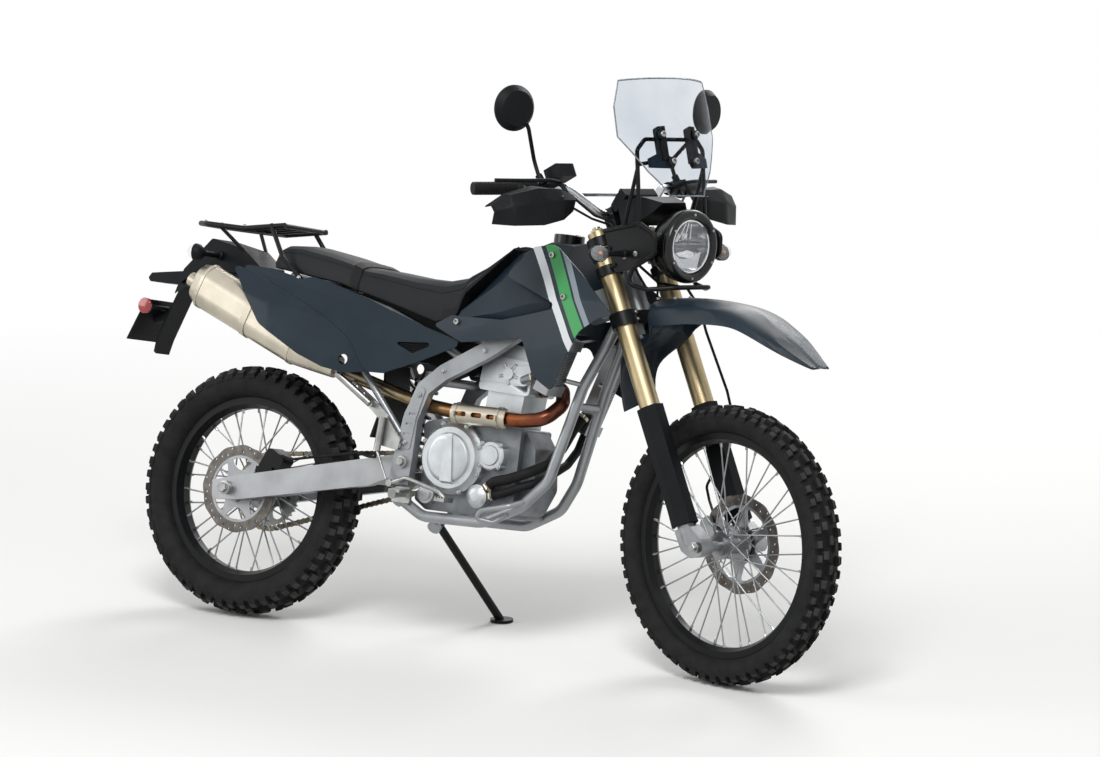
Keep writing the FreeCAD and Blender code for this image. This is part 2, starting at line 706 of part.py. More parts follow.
# Bodywork
flank = [(-790, [(-125, 935), (-152, 905), (-178, 850), (-186, 780), (-186, 600)]),
         (-600, [(-112, 905), (-150, 872), (-188, 815), (-200, 740), (-200, 600)]),
         (-420, [(-112, 872), (-140, 842), (-176, 785), (-192, 700), (-190, 600)]),
         (-240, [(-114, 830), (-136, 806), (-158, 745), (-170, 680), (-168, 600)]),
         (-30, [(-128, 785), (-136, 772), (-140, 750), (-142, 700), (-140, 600)])]
wing = [(-160, [(-128, 860), (-134, 800), (-140, 760), (-140, 640)]),
        (60, [(-116, 1040), (-132, 940), (-154, 830), (-152, 640)]),
        (180, [(-112, 1050), (-162, 900), (-176, 760), (-168, 640)]),
        (300, [(-146, 1000), (-188, 900), (-206, 800), (-196, 640)]),
        (450, [(-190, 1000), (-210, 900), (-216, 860), (-212, 640)])]
sheet = 3.5


def bosses(spots, radius, inner, outer):
    """Bolt bosses at (x, z) that fill the room between an inner piece and a panel."""
    found = []
    for x, z in spots:
        bar = rod((x, -300, z), (x, 0, z), radius).cut([inner, outer])
        for piece in bar.Solids:
            if piece.distToShape(inner)[0] < 0.01 and piece.distToShape(outer)[0] < 0.01:
                found.append(piece)
    return found


def side_covers():
    """Long side covers under the seat with their triangular vents."""
    right = panel(flank, sheet, [(-525, 896, 20), (-360, 852), (-181, 800), (-56, 770, 6),
                                 (-58, 754, 6), (-153, 707, 40), (-250, 666, 20), (-300, 665, 20),
                                 (-365, 748, 60), (-441, 793, 60), (-580, 850), (-767, 907, 6),
                                 (-653, 903, 20), (-561, 884, 20)])
    vent = plate([(-240, 749, 4), (-112, 758, 6), (-178, 725, 6)], -400, 0)
    right = right.cut(vent)
    feet = bosses([(-450, 862), (-150, 773)], 7, subframe(), right)
    return both(fuse([right] + feet))


def rear_panels():
    """Lower rear panels beside the silencer."""
    right = panel(flank, sheet, [(-767.2, 906.4, 6), (-580.3, 849.4), (-441.4, 792.5, 60),
                                 (-365.4, 747.5, 60), (-300.4, 664.6, 2), (-362, 656, 30),
                                 (-425, 665, 30), (-502, 691, 40), (-633, 758, 60), (-697, 833, 20)])
    hole = rod((-366, -400, 690), (-366, 0, 690), 13)
    return both(right.cut(hole))


def shrouds():
    """Forked radiator shrouds over the tank's flanks."""
    right = panel(wing, sheet, [(122, 1024, 20), (174, 1035, 14), (196, 1028, 14), (303, 961, 60),
                                (425, 873, 4), (383, 861, 20), (333, 826, 40), (262, 669, 14),
                                (195, 701, 30), (167, 757, 30), (148, 793, 20), (-43, 766, 20),
                                (-138, 803, 6), (-87, 832, 10), (74, 833, 20), (254, 879, 10),
                                (186, 902, 20), (57, 945, 10)])
    feet = bosses([(184, 1008), (20, 812)], 8, fuel_tank(), right)
    return both(fuse([right] + feet))


def fuel_tank():
    """Saddle tank between the shrouds, with its filler cap."""
    table = [(-84, [(0, 872), (60, 866), (100, 846), (112, 824), (106, 806)]),
             (44, [(0, 1012), (60, 1002), (104, 940), (136, 850), (120, 800)]),
             (140, [(0, 1050), (66, 1042), (106, 985), (144, 880), (124, 800)]),
             (204, [(0, 1050), (64, 1038), (104, 990), (146, 890), (126, 812)])]
    rings = []
    for x, half in table:
        left = [(x, y, z) for y, z in half]
        right = [(x, -y, z) for y, z in reversed(half[1:])]
        rings.append(left + right)
    room = [beam([(x, s * y, z, w + 2 * seat_gap, h + 2 * seat_gap) for x, y, z, w, h in spar_line])
            for s in (1, -1)]
    body = sections(rings).cut(room)
    body = body.cut(Part.makeBox(300, 150, 60, V(-90, -75, 760)))
    cap = rod((150, 0, 1040), (150, 0, 1066), 36)
    return fuse([body, cap])


def seat():
    """Long two-person seat as one closed cushion."""
    side = plate([(-668, 970, 20), (-588, 972, 40), (-411, 942, 80), (-332, 937, 60),
                  (-235, 922, 80), (-153, 920, 80), (-97, 933, 60), (-38, 967, 60),
                  (8, 1008, 40), (36, 1028, 2), (41, 1024), (-80, 888), (-94, 826), (-151, 806, 20),
                  (-259, 838, 60), (-351, 860, 60), (-449, 882, 60), (-668, 906, 6)], -120, 120)
    # Stations: x, then half widths and heights at the lower edge, side crease, top edge and foot
    table = [(-672, (100, 900), (92, 940), (50, 980), (80, 800)),
             (-420, (112, 868), (104, 920), (62, 950), (100, 780)),
             (-220, (112, 826), (100, 896), (64, 936), (100, 740)),
             (-90, (108, 820), (88, 900), (50, 950), (90, 740)),
             (44, (92, 960), (70, 1020), (36, 1046), (80, 880))]
    rings = []
    for x, edge, crease, crown, foot in table:
        left = [foot, edge, crease, crown]
        rings.append([(x, y, z) for y, z in left] + [(x, -y, z) for y, z in reversed(left)])
    plan = sections(rings)
    return side.common(plan)


def rear_fender():
    """Tail under the seat, undertray over the tyre and flap in front of it."""
    table = [(-480, 88, 846, 6), (-735, 78, 872, 6), (-850, 72, 884, 8), (-960, 62, 866, 8),
             (-1010, 50, 838, 8)]
    rings = []
    for x, half, z, thick in table:
        rings.append([(x, half, z - 26), (x, half, z - 22), (x, half * 0.8, z), (x, -half * 0.8, z),
                      (x, -half, z - 22), (x, -half, z - 26), (x, -half * 0.78, z - thick),
                      (x, half * 0.78, z - thick)])
    tray = sections(rings)
    tail = plate([(-1000, 836, 4), (-985, 880, 6), (-905, 968, 10), (-800, 948, 8), (-742, 905, 4),
                  (-742, 880, 4), (-850, 884), (-960, 866)], -56, 56)
    flap = plate([(-322, 689.6), (-316, 689.6), (-306, 600, 30), (-334, 500, 4), (-341, 500, 4),
                  (-313, 600, 30)], -58, 58)
    return Part.makeCompound([fuse([tray, tail]), flap])


def plate_bracket():
    """Licence plate carrier hanging from the tail, with its blank plate and round reflector."""
    arm = sections([[(-1000, 40, 835.2), (-1000, -40, 835.2), (-1012, -40, 806), (-1012, 40, 806)],
                    [(-1062, 34, 700), (-1062, -34, 700), (-1054, -34, 690), (-1054, 34, 690)],
                    [(-1070, 30, 655), (-1070, -30, 655), (-1062, -30, 650), (-1062, 30, 650)]])
    blank = Part.makeBox(3, 180, 120, V(-1.5, -90, -60))
    blank.rotate(V(0, 0, 0), V(0, 1, 0), 24)
    blank.translate(V(-1094, 0, 735))
    holder = rod((-1096, 0, 742), (-1040, 0, 760), 14)
    disc = rod((-1062, -96, 772), (-1062, -104, 772), 20)
    ear = rod((-1062, -98, 772), (-1062, 0, 772), 5)
    return fuse([arm, blank, holder, ear, disc])


def tail_lamp():
    """Tail lamp behind the fender's tip."""
    return plate([(-1010.6, 838.4), (-998.2, 845.2), (-987.4, 876), (-1100, 862, 8), (-1110, 848, 6),
                  (-1102, 838.4, 6)], -38, 38)


def rear_signals():
    """Ball-shaped turn signals on short stalks."""
    stalk = rod((-872, -56.3, 924), (-872, -132, 924), 9)
    ball = Part.makeSphere(24, V(-884, -150, 924))
    lens = rod((-900, -150, 924), (-914, -150, 924), 22)
    return both(fuse([stalk, ball, lens]))


def luggage_rack():
    """Tubular carrier over the tail with its struts."""
    side = [(-652, 97, 1018), (-780, 97, 1000), (-900, 94, 1003), (-950, 60, 1004)]
    ring = tube([(x, -y, z) for x, y, z in side] + list(reversed(side)), 7, 36)
    bars = [rod((-658, -97, 1017.2), (-658, 97, 1017.2), 6), rod((-780, -97, 1000), (-780, 97, 1000), 6)]
    bars += [rod((-658, y, 1017.2), (-780, y, 1000), 5) for y in (-40, 0, 40)]
    bars += [rod((-780, y, 1000), (-948, y, 1004), 5) for y in (-40, 0, 40)]
    struts = []
    for s in (1, -1):
        struts.append(tube([(-694, s * 100, 1017), (-634, s * 118, 935), (-572, s * 118, 886),
                            (-566, s * 100, 876)], 6, 14))
        struts.append(rod((-860, s * 94, 1001), (-800, s * 50, 940), 5))
    return fuse([ring] + bars + struts).cut([rear_fender(), subframe()])


# Rider's controls on the chassis
def footpegs():
    """Rider's and passenger's pegs with their carriers."""
    teeth = [Part.makeBox(34, 4, 8, V(-180 + 1.3 * i, -144 - 9.4 * i, 376 - 0.75 * i)) for i in range(7)]
    peg = fuse(teeth + [rod((-168, -132, 372), (-158, -205, 366), 11),
                plate([(-196, 386, 6), (-148, 386, 6), (-148, 346, 6), (-196, 346, 6)], -134, -124.3)])
    carrier = plate([(-236, 560, 6), (-290, 600, 10), (-356, 640, 8), (-366, 626, 8),
                     (-300, 576, 10), (-250, 538, 6)], -138, -132.0)
    holes = [rod((x, -145, z), (x, -125, z), 5) for x, z in ((-322, 608), (-346, 624))]
    pillion = fuse([carrier.cut(holes), rod((-290, -138, 586), (-290, -154, 586), 9),
                    rod((-290, -152, 586), (-390, -168, 652), 9)])
    return both(Part.makeCompound([peg, pillion]))


def foot_controls():
    """Brake pedal with rear master cylinder on the right, gear lever on the left."""
    pedal = tube([(-208, -141, 392), (-160, -143, 410), (-60, -142, 386), (-36, -142, 368)], 6, 16)
    hub = rod((-208, -148, 392), (-208, -129.3, 392), 9)
    pad = fuse([Part.makeBox(30, 44, 8, V(-52, -172, 362))] +
               [Part.makeBox(4, 44, 4, V(-50 + 8 * i, -172, 370)) for i in range(4)])
    heel = plate([(-262, 486, 8), (-196, 476, 8), (-192, 504, 8), (-240, 560, 8), (-258, 556, 8)],
                 -143.5, -138)
    arm = rod((-198, -141, 490), (-198, -127.2, 490), 8)
    barrel = rod((-252, -152, 470), (-246, -152, 556), 9)
    master = fuse([heel, arm.cut(frame_spars()), barrel, rod((-252, -152, 470), (-216, -150, 400), 3.5)])
    gear = rod((-80, 130, 392), (26, 130, 400), 6)
    shaft = rod((-80, 62.3, 392), (-80, 136, 392), 8)
    toe = rod((26, 124, 400), (26, 162, 400), 9)
    return Part.makeCompound([fuse([pedal, hub, pad]), master, fuse([gear, shaft, toe])])


def rear_brake_hose():
    """Hose from the rear master cylinder along the swingarm to the caliper."""
    hose = tube([(-252, -152, 469.7), (-254, -150, 452), (-290, -134, 452), (-330, -118, 458),
                 (-540, -112, 418), (-572, -100, 424), (-590, -82, 424)], 3.5, 14)
    return hose.cut([rear_caliper(), foot_controls()])


def rear_caliper():
    """Rear brake caliper over the disc with its bracket on the swingarm."""
    x, z = rear_axle
    body = plate([(x + 66, z + 62, 10), (x + 96, z + 120, 14), (x + 150, z + 92, 14),
                  (x + 110, z + 34, 10)], -90, -40)
    room = rod((x, -72, z), (x, -56, z), 122)
    foot = plate([(x + 66, z + 26), (x + 116, z + 26), (x + 116, z + 66), (x + 66, z + 66)], -96, -88)
    return fuse([body.cut(room), foot.cut(swingarm())])


# Side stand, down
def ground_height(x, y):
    """Height of the floor under a point of the upright motorcycle."""
    return (floor_level - floor_normal.x * x - floor_normal.y * y) / floor_normal.z


def side_stand():
    """Stand leg with its foot, turning on the pin under the left cradle tube."""
    top = V(*stand_pivot)
    foot = V(stand_foot[0], stand_foot[1], ground_height(*stand_foot))
    along = unit(foot - top)
    leg = Part.makeCylinder(11, (foot - top).Length - 6, top, along)
    pad = Part.makeCylinder(30, 8, foot, floor_normal)
    knuckle = Part.makeCylinder(18, 24, top - stand_axis * 12, stand_axis)
    bore = Part.makeCylinder(8 + seat_gap, 60, top - stand_axis * 30, stand_axis)
    return fuse([leg, pad, knuckle]).cut(bore)


def stand_bracket():
    """Lug and pin on the left cradle tube that carry the side stand."""
    top = V(*stand_pivot)
    lug = Part.makeCylinder(18, 10, top - stand_axis * 22.3, stand_axis)
    pin = Part.makeCylinder(8, 39, top - stand_axis * 22.3, stand_axis)
    head = Part.makeCylinder(13, 5, top + stand_axis * 12.3, stand_axis)
    edge = top - stand_axis * 17.3 + V(0.8, -0.36, 0.48) * 30
    web = rod(tuple(top - stand_axis * 17.3), tuple(edge), 5)
    arm = rod(tuple(edge), (-168, 104, 332), 7)
    return [lug, pin, head, web, arm]


# Steering assembly, wheel straight ahead, in the steering frame
def triple_clamps():
    """Upper and lower fork clamps joined by the steering stem, with the bar risers."""
    pieces = []
    for low, high, front in ((*lower_clamp_u, 56), (*upper_clamp_u, 52)):
        half = [(-22, 20), (2, 36), (6, fork_y), (front - 8, fork_y), (front, 60)]
        plan = [V(f, y, low) for f, y in half] + [V(f, -y, low) for f, y in reversed(half)]
        pieces.append(Part.Face(Part.makePolygon(plan + plan[:1])).extrude(V(0, 0, high - low)))
        for y in (fork_y, -fork_y):
            pieces.append(rod((fork_f, y, low), (fork_f, y, high), fork_radius + 8))
    pieces.append(rod((0, 0, lower_clamp_u[0]), (0, 0, upper_clamp_u[1] + 10), 15))
    pieces.append(rod((0, 0, upper_clamp_u[1]), (0, 0, upper_clamp_u[1] + 10), 20))
    for y in (45, -45):
        tall = bar_u - upper_clamp_u[1] + 17
        pieces.append(Part.makeBox(34, 26, tall, V(bar_f - 17, y - 13, upper_clamp_u[1])))
    cuts = [rod((fork_f, s * fork_y, 900), (fork_f, s * fork_y, 1250), fork_radius + seat_gap)
            for s in (1, -1)]
    cuts.append(rod((bar_f, -90, bar_u), (bar_f, 90, bar_u), bar_radius + seat_gap))
    return fuse(pieces).cut(cuts)


def fork_tubes():
    """Upper tubes of the upside-down fork."""
    tube_r = rod((fork_f, -fork_y, 640), (fork_f, -fork_y, 1200), fork_radius)
    points = []
    for i in range(6):
        turn = math.radians(60 * i)
        points.append(V(fork_f + 17 * math.cos(turn), -fork_y + 17 * math.sin(turn), 1200))
    cap = Part.Face(Part.makePolygon(points + points[:1])).extrude(V(0, 0, 8))
    bore = rod((fork_f, -fork_y, 600), (fork_f, -fork_y, 900), slider_radius + seat_gap)
    return both(fuse([tube_r, cap]).cut(bore))


def fork_legs():
    """Inner tubes, axle lugs and the front axle."""
    leg = rod((fork_f, -fork_y, 372), (fork_f, -fork_y, 880), slider_radius)
    lug = plate([(fork_f - 24, 420, 8), (fork_f + 24, 420, 8), (axle_f + 22, axle_u + 10, 16),
                 (axle_f + 14, axle_u - 24, 16), (fork_f, axle_u - 18, 16), (fork_f - 22, axle_u + 10, 12)],
                -fork_y - 20, -fork_y + 20)
    pair = both(fuse([leg, lug]))
    shaft = rod((axle_f, -126, axle_u), (axle_f, 126, axle_u), 8)
    spacers = [rod((axle_f, 46.6, axle_u), (axle_f, 80, axle_u), 13),
               rod((axle_f, -80, axle_u), (axle_f, -40.3, axle_u), 13)]
    bolts = []
    for rise in (0, 22):
        for s in (1, -1):
            bolts.append(rod((fork_f - 21, s * fork_y, axle_u + 14 + rise),
                             (fork_f - 27, s * fork_y, axle_u + 14 + rise), 6))
    return fuse([pair.Solids[0], pair.Solids[1], shaft] + spacers + bolts)


def fork_guards():
    """Black plastic guards in front of the inner tubes."""
    table = [(424, 33, 30), (470, 30, 30), (640, 31, 31), (735, 31, 31)]
    rings = []
    for u, wide, deep in table:
        rings.append([(fork_f + deep, -fork_y + y, u) for y in (-wide * 0.5, wide * 0.5)] +
                     [(fork_f + 0, -fork_y + wide, u), (fork_f - deep * 0.7, -fork_y + wide * 0.9, u),
                      (fork_f - deep * 0.7, -fork_y - wide * 0.9, u), (fork_f, -fork_y - wide, u)])
    shell = sections(rings)
    room = rod((fork_f, -fork_y, 420), (fork_f, -fork_y, 740), fork_radius + seat_gap)
    back = Part.makeBox(40, 38, 400, V(fork_f - 50, -fork_y - 19, 400))
    return both(shell.cut([room, back]))


def handlebar():
    """Bent bar with its crossbar."""
    half = [(bar_f, 0, bar_u), (bar_f, 78, bar_u), (40, 170, 1318), (-44, 404, 1352)]
    line = [(f, -y, u) for f, y, u in reversed(half[1:])] + half[1:]
    bar = tube(line, bar_radius, 60)
    cross = rod((41, -150, 1301), (41, 150, 1301), 6)
    return fuse([bar, cross])


def bar_spot(y):
    """Point on the bar's outer run, side by side coordinate y."""
    t = (abs(y) - 170) / (404 - 170)
    return (40 - 84 * t, y, 1318 + 34 * t)


def grips():
    """Rubber grips over the bar's ends."""
    a = V(*bar_spot(-288))
    b = V(*bar_spot(-412))
    body = Part.makeCylinder(grip_radius, (b - a).Length, a, b - a)
    collar = Part.makeCylinder(24, 5, a, b - a)
    end = V(*bar_spot(-404.3))
    bore = Part.makeCylinder(bar_radius + seat_gap, (end - a).Length, a, end - a)
    return both(fuse([body, collar]).cut(bore))


def controls():
    """Switch housings, lever perches, levers and the brake fluid reservoir."""
    a = V(*bar_spot(-214))
    b = V(*bar_spot(-284))
    along = unit(b - a)
    housing = Part.makeCylinder(20, 32, a + along * 38, along)
    perch = Part.makeCylinder(17, 26, a, along)
    post = rod(bar_spot(-226), (74, -226, 1320), 9)
    lever = tube([(72, -224, 1320), (78, -262, 1322), (48, -330, 1334), (26, -398, 1344)], 5, 30)
    socket = rod((36, -244, 1330), (30, -246, 1356), 9)
    foot = rod(bar_spot(-236), (34, -244, 1334), 10)
    bore = Part.makeCylinder(bar_radius + seat_gap, 90, a - along * 6, along)
    right = fuse([housing, perch, post, lever, socket, foot]).cut(bore)
    reservoir = Part.makeBox(46, 62, 34, V(28, -222, 1336))
    neck = rod((44, -220, 1325), (44, -214, 1340), 8)
    right_set = fuse([right, reservoir, neck]).cut(bore)
    return Part.makeCompound([right_set, mirror(right)])


def mirrors():
    """Round mirrors on bent stems."""
    stem = tube([(30, -246, 1356.5), (30, -246, 1396), (98, -306, 1452), (110, -325, 1477)], 5, 26)
    middle = V(110, -346, 1501)
    facing = unit(V(0.87, -0.2, -0.45))
    bowl = Part.makeCone(57, 44, 16, middle, facing)
    back = Part.makeCylinder(57, 6, middle - facing * 6, facing)
    return both(fuse([stem, bowl, back]))


def hand_guards():
    """Faceted wind deflectors in front of the levers."""
    table = [(-212, 96, 1262, 22), (-262, 104, 1258, 44), (-330, 98, 1256, 54), (-400, 66, 1258, 44),
             (-428, 24, 1262, 26)]
    rings = []
    for y, f, u, tall in table:
        rings.append([(f - 26, y, u + tall), (f - 4, y, u + tall * 0.7), (f, y, u), (f - 20, y, u - tall),
                      (f - 23, y, u - tall + 2), (f - 4, y, u), (f - 8, y, u + tall * 0.66),
                      (f - 28, y, u + tall - 3)])
    shell = sections(rings)
    stem = rod((90, -224, 1262), (74, -224, 1318), 6)
    room = rod(bar_spot(-226), (82, -226, 1319), 9.5)
    return both(fuse([shell, stem.cut(room)]))


def headlamp():
    """Round lamp bowl with bezel and lens, level with the ground."""
    profile = [(-92, 0), (-92, 40), (-60, 76), (-10, 92), (8, 90), (14, 82), (10, 70), (4, 68), (4, 0)]
    ring = [V(x, 0, r) for x, r in profile]
    bowl = Part.Face(Part.makePolygon(ring + ring[:1])).revolve(V(0, 0, 0), V(1, 0, 0), 360)
    notches = []
    for i in range(8):
        turn = math.radians(22.5 + 45 * i)
        notch = Part.makeBox(12, 9, 20, V(5, -4.5, 84))
        notch.rotate(V(0, 0, 0), V(1, 0, 0), math.degrees(turn))
        notches.append(notch)
    return lamp_place(bowl.cut(notches))


def lamp_lens():
    """Clear lens of the headlamp."""
    lens = [(4.3, 0), (4.3, 67), (9.5, 66), (14, 40), (16, 0)]
    ring = [V(x, 0, r) for x, r in lens]
    return lamp_place(Part.Face(Part.makePolygon(ring + ring[:1])).revolve(V(0, 0, 0), V(1, 0, 0), 360))


def lamp_place(shape):
    shape.rotate(V(0, 0, 0), V(0, 1, 0), rake)
    shape.translate(V(222, 0, 1084))
    return shape


def lamp_cage():
    """Side plates and bent rods that carry the lamp and the screen."""
    wide = 118
    low = [(72, wide, 1189), (192, wide, 1158), (228, wide, 1112), (206, wide, 1070), (128, wide, 1068),
           (92, wide, 1040), (140, 106, 1004), (190, 60, 988)]
    high = [(186, wide, 1150), (252, wide, 1330), (264, 92, 1354)]
    pieces = []
    for line, radius in ((low, 6), (high, 5.5)):
        back = [(f, -y, u) for f, y, u in reversed(line)]
        pieces.append(tube(line + back, radius, 18))
    for s in (1, -1):
        y = s * wide
        pieces.append(plate([(72, 1189, 6), (180, 1160, 20), (222, 1112, 24), (202, 1070, 20),
                             (128, 1062, 20), (66, 1080, 6)], y - 2, y + 2))
        pieces.append(rod((134, y, 1168), (234, y, 1285), 5))
        pieces.append(rod((190, y, 1100), (190, s * 86, 1100), 7).cut(headlamp()))
        for u in (1084, 1128):
            pieces.append(rod((fork_f, s * fork_y, u), (fork_f, s * fork_y, u + 24), fork_radius + 6))
            pieces.append(rod((fork_f + 20, s * 112, u + 12), (80, s * 117, u + 12), 7))
        tab = plate([(258, 1290), (284, 1290), (300, 1376), (274, 1376, 6)], s * 55 - 11, s * 55 + 11)
        pieces.append(tab.common(screen_inside()))
        pieces.append(rod((240, y, 1296), (264, s * 60, 1296), 5))
    bore = [rod((fork_f, s * fork_y, 900), (fork_f, s * fork_y, 1250), fork_radius + seat_gap)
            for s in (1, -1)]
    return fuse(pieces).cut(bore)


screen_bend = 330.0
screen_thick = 3.0
screen_low = V(262 - screen_bend, 0, 1196)
screen_rise = V(70, 0, 362)


def screen_inside():
    """Room behind the curved screen."""
    return Part.makeCylinder(screen_bend - screen_thick, screen_rise.Length + 40,
                             screen_low - unit(screen_rise) * 20, screen_rise)


def windscreen():
    """Tall clear screen, curved about its height."""
    outer = Part.makeCylinder(screen_bend, screen_rise.Length, screen_low, screen_rise)
    inner = screen_inside()
    half = [(0, 1200), (62, 1202), (66, 1214), (112, 1268), (172, 1365), (170, 1440),
            (152, 1500), (118, 1540), (70, 1554), (0, 1557)]
    spots = [V(60, y, u) for y, u in half] + [V(60, -y, u) for y, u in reversed(half[1:-1])]
    shape = Part.Face(Part.makePolygon(spots + spots[:1])).extrude(V(500, 0, 0))
    return outer.cut(inner).common(shape)


def instrument():
    """Lamp cowl with the meter behind it."""
    cowl = sections([[(88, 70, 1196), (88, -70, 1196), (88, -60, 1262), (88, 60, 1262)],
                     [(150, 74, 1182), (150, -74, 1182), (170, -60, 1240), (170, 60, 1240)],
                     [(196, 60, 1190), (196, -60, 1190), (216, -40, 1204), (216, 40, 1204)]])
    meter = plate([(70, 1238, 6), (122, 1262, 6), (112, 1290, 6), (62, 1262, 6)], -58, 58)
    foot = Part.makeBox(60, 40, 18, V(36, -20, upper_clamp_u[1] + seat_gap))
    return fuse([cowl, meter, foot]).cut(headlamp())


def front_fender():
    """High fender under the lower clamp, peaked along the middle."""
    table = [(-96, 800, 60, 34), (-72, 890, 64, 40), (-40, 930, 66, 44), (70, 932, 68, 40),
             (92, 1000, 88, 74), (223, 950, 95, 70), (320, 895, 98, 58), (373, 862, 96, 56),
             (440, 770, 78, 50), (507, 652, 34, 8)]
    rings = []
    thick = 3.5
    for f, u, half, drop in table:
        edge = u - drop
        outer = [(f, -half, edge), (f, -half * 0.86, u - 0.35 * drop), (f, -half * 0.3, u - 4),
                 (f, 0, u), (f, half * 0.3, u - 4), (f, half * 0.86, u - 0.35 * drop), (f, half, edge)]
        inner = [(f, half - thick, edge), (f, half * 0.86 - thick, u - 0.35 * drop - thick),
                 (f, half * 0.3, u - 4 - thick), (f, 0, u - thick), (f, -half * 0.3, u - 4 - thick),
                 (f, -half * 0.86 + thick, u - 0.35 * drop - thick), (f, -half + thick, edge)]
        rings.append(outer + inner)
    shell = sections(rings)
    mount = rod((20, 0, 925), (20, 0, 947.7), 16)
    return fuse([shell, mount])


def front_signals():
    """Clear turn signals on stalks from the lamp's side plates."""
    stalk = rod((126, -120.3, 1106), (126, -200, 1106), 8)
    body = Part.makeSphere(25, V(130, -222, 1107))
    return both(fuse([stalk, body]))


def front_caliper():
    """Caliper on the left fork lug, over the front disc."""
    f0 = axle_f
    u0 = axle_u
    body = plate([(f0 - 112, u0 + 42, 12), (f0 - 96, u0 + 98, 14), (f0 - 60, u0 + 104, 10),
                  (f0 - 62, u0 + 40, 10)], 30, 76)
    arm = plate([(f0 - 90, u0 + 44), (f0 - 90, u0 + 80), (fork_f, u0 + 52), (fork_f, u0 + 30)], 62, 80)
    room = rod((f0, 38.5, u0), (f0, 50, u0), 131)
    return fuse([body.cut(room), arm]).cut(fork_legs())


def front_brake_hose():
    """Steel-braided hose from the hand lever past the left fork leg to the caliper."""
    hose = tube([(64, -220, 1318), (70, -203, 1290), (84, -150, 1226), (90, -100, 1206), (88, -84, 1172),
                 (80, -60, 1110), (90, 0, 1040), (128, 52, 1012), (115, 92, 960), (104, 101, 902),
                 (99, 112, 824), (93, 124, 747), (80, 134, 706), (22, 140, 610), (-40, 138, 580),
                 (-72, 132, 556), (-64, 118, 515), (-40, 92, 480), (-18, 62, 458)], 3.5, 16)
    return hose.cut([controls(), front_caliper()])


def control_cables():
    """Throttle and clutch cables down to the guide on the lower clamp."""
    half = [(15.7, 266, 1320.2), (42, 242, 1292), (58, 200, 1262), (72, 150, 1222),
            (74, 100, 1206), (72, 80, 1170), (66, 40, 1080), (62, 8, 1010), (50, 8, 970)]
    pair = Part.makeCompound([tube([(f, s * y, u) for f, y, u in half], 3, 16) for s in (1, -1)])
    return pair.cut([controls(), triple_clamps()])


chassis_nodes = [frame_spars, frame_cradle, subframe, swingarm, rear_axle_set, rear_shock, crankcase,
                 engine_covers, output_sprocket, cylinder, intake, exhaust_pipe, heat_guard, muffler,
                 radiators, coolant_hoses, side_covers, rear_panels, shrouds, fuel_tank, seat,
                 rear_fender, plate_bracket, tail_lamp, rear_signals, luggage_rack, footpegs,
                 foot_controls, drive_chain, rear_caliper, rear_brake_hose]
rear_wheel_nodes = [rear_tyre, rear_rim, rear_hub, rear_disc, rear_sprocket]
stand_nodes = [side_stand]
steering_nodes = [triple_clamps, fork_tubes, fork_legs, fork_guards, handlebar, grips, controls,
                  mirrors, hand_guards, headlamp, lamp_lens, lamp_cage, windscreen, instrument,
                  front_fender, front_signals, front_caliper, front_brake_hose, control_cables]
front_wheel_nodes = [front_tyre, front_rim, front_hub, front_disc]


def turn(axis, degrees, about=(0, 0, 0)):
    """Placement that turns about a line through a point."""
    return FreeCAD.Placement(V(0, 0, 0), FreeCAD.Rotation(V(*axis), degrees), V(*about))


steer_axis = (-sin_rake, 0, cos_rake)
steer_frame = FreeCAD.Placement(V(steer_x, 0, 0), FreeCAD.Rotation(V(0, 1, 0), -rake))
steer_turn = turn(steer_axis, steer_angle, (steer_x, 0, 0))


def lowest(centre, axis, half, radius, normal):
    """Least distance along a normal over a tyre's shoulder and crown circles."""
    along = normal.dot(axis)
    reach = math.sqrt(1 - along * along)
    return min(normal.dot(centre) + w * along - r * reach for w, r in tyre_circles(half, radius))


def tyre_circles(half, radius):
    """Circles (y, radius) through the corners of the lugs' tips."""
    spots = []
    for inner, outer, drop_in, drop_out, length, per_facet in lug_rows:
        spots += [(inner * half, radius - drop_in * half), (outer * half, radius - drop_out * half)]
    return [(s * y, r) for y, r in spots for s in (1, -1)]


def parked(pitch):
    """Turn of the leaning motorcycle, and how high each tyre's lowest point is."""
    stance = turn((1, 0, 0), -lean_angle).multiply(turn((0, 1, 0), pitch))
    normal = stance.Rotation.inverted().multVec(V(0, 0, 1))
    rear_low = lowest(V(rear_axle[0], 0, rear_axle[1]), V(0, 1, 0), rear_half_width, rear_radius, normal)
    front_centre = steer_turn.multVec(V(wheelbase / 2, 0, front_radius))
    front_axis = steer_turn.Rotation.multVec(V(0, 1, 0))
    front_low = lowest(front_centre, front_axis, front_half_width, front_radius, normal)
    return stance, normal, rear_low, front_low


def level_pitch():
    """Pitch at which both tyres stand on the floor."""
    low, high = -3.0, 3.0
    for step in range(60):
        middle = 0.5 * (low + high)
        stance, normal, rear_low, front_low = parked(middle)
        if front_low > rear_low:
            low = middle
        else:
            high = middle
    return middle


def contact_angle(rotation):
    """Angle in a wheel's own side plane at which the tyre meets the floor."""
    down = rotation.inverted().multVec(floor_normal * -1)
    return math.atan2(down.z, down.x)


lean_turn, floor_normal, floor_level, front_level = parked(level_pitch())
rear_contact = contact_angle(FreeCAD.Rotation())
front_contact = contact_angle(steer_turn.multiply(steer_frame).Rotation)


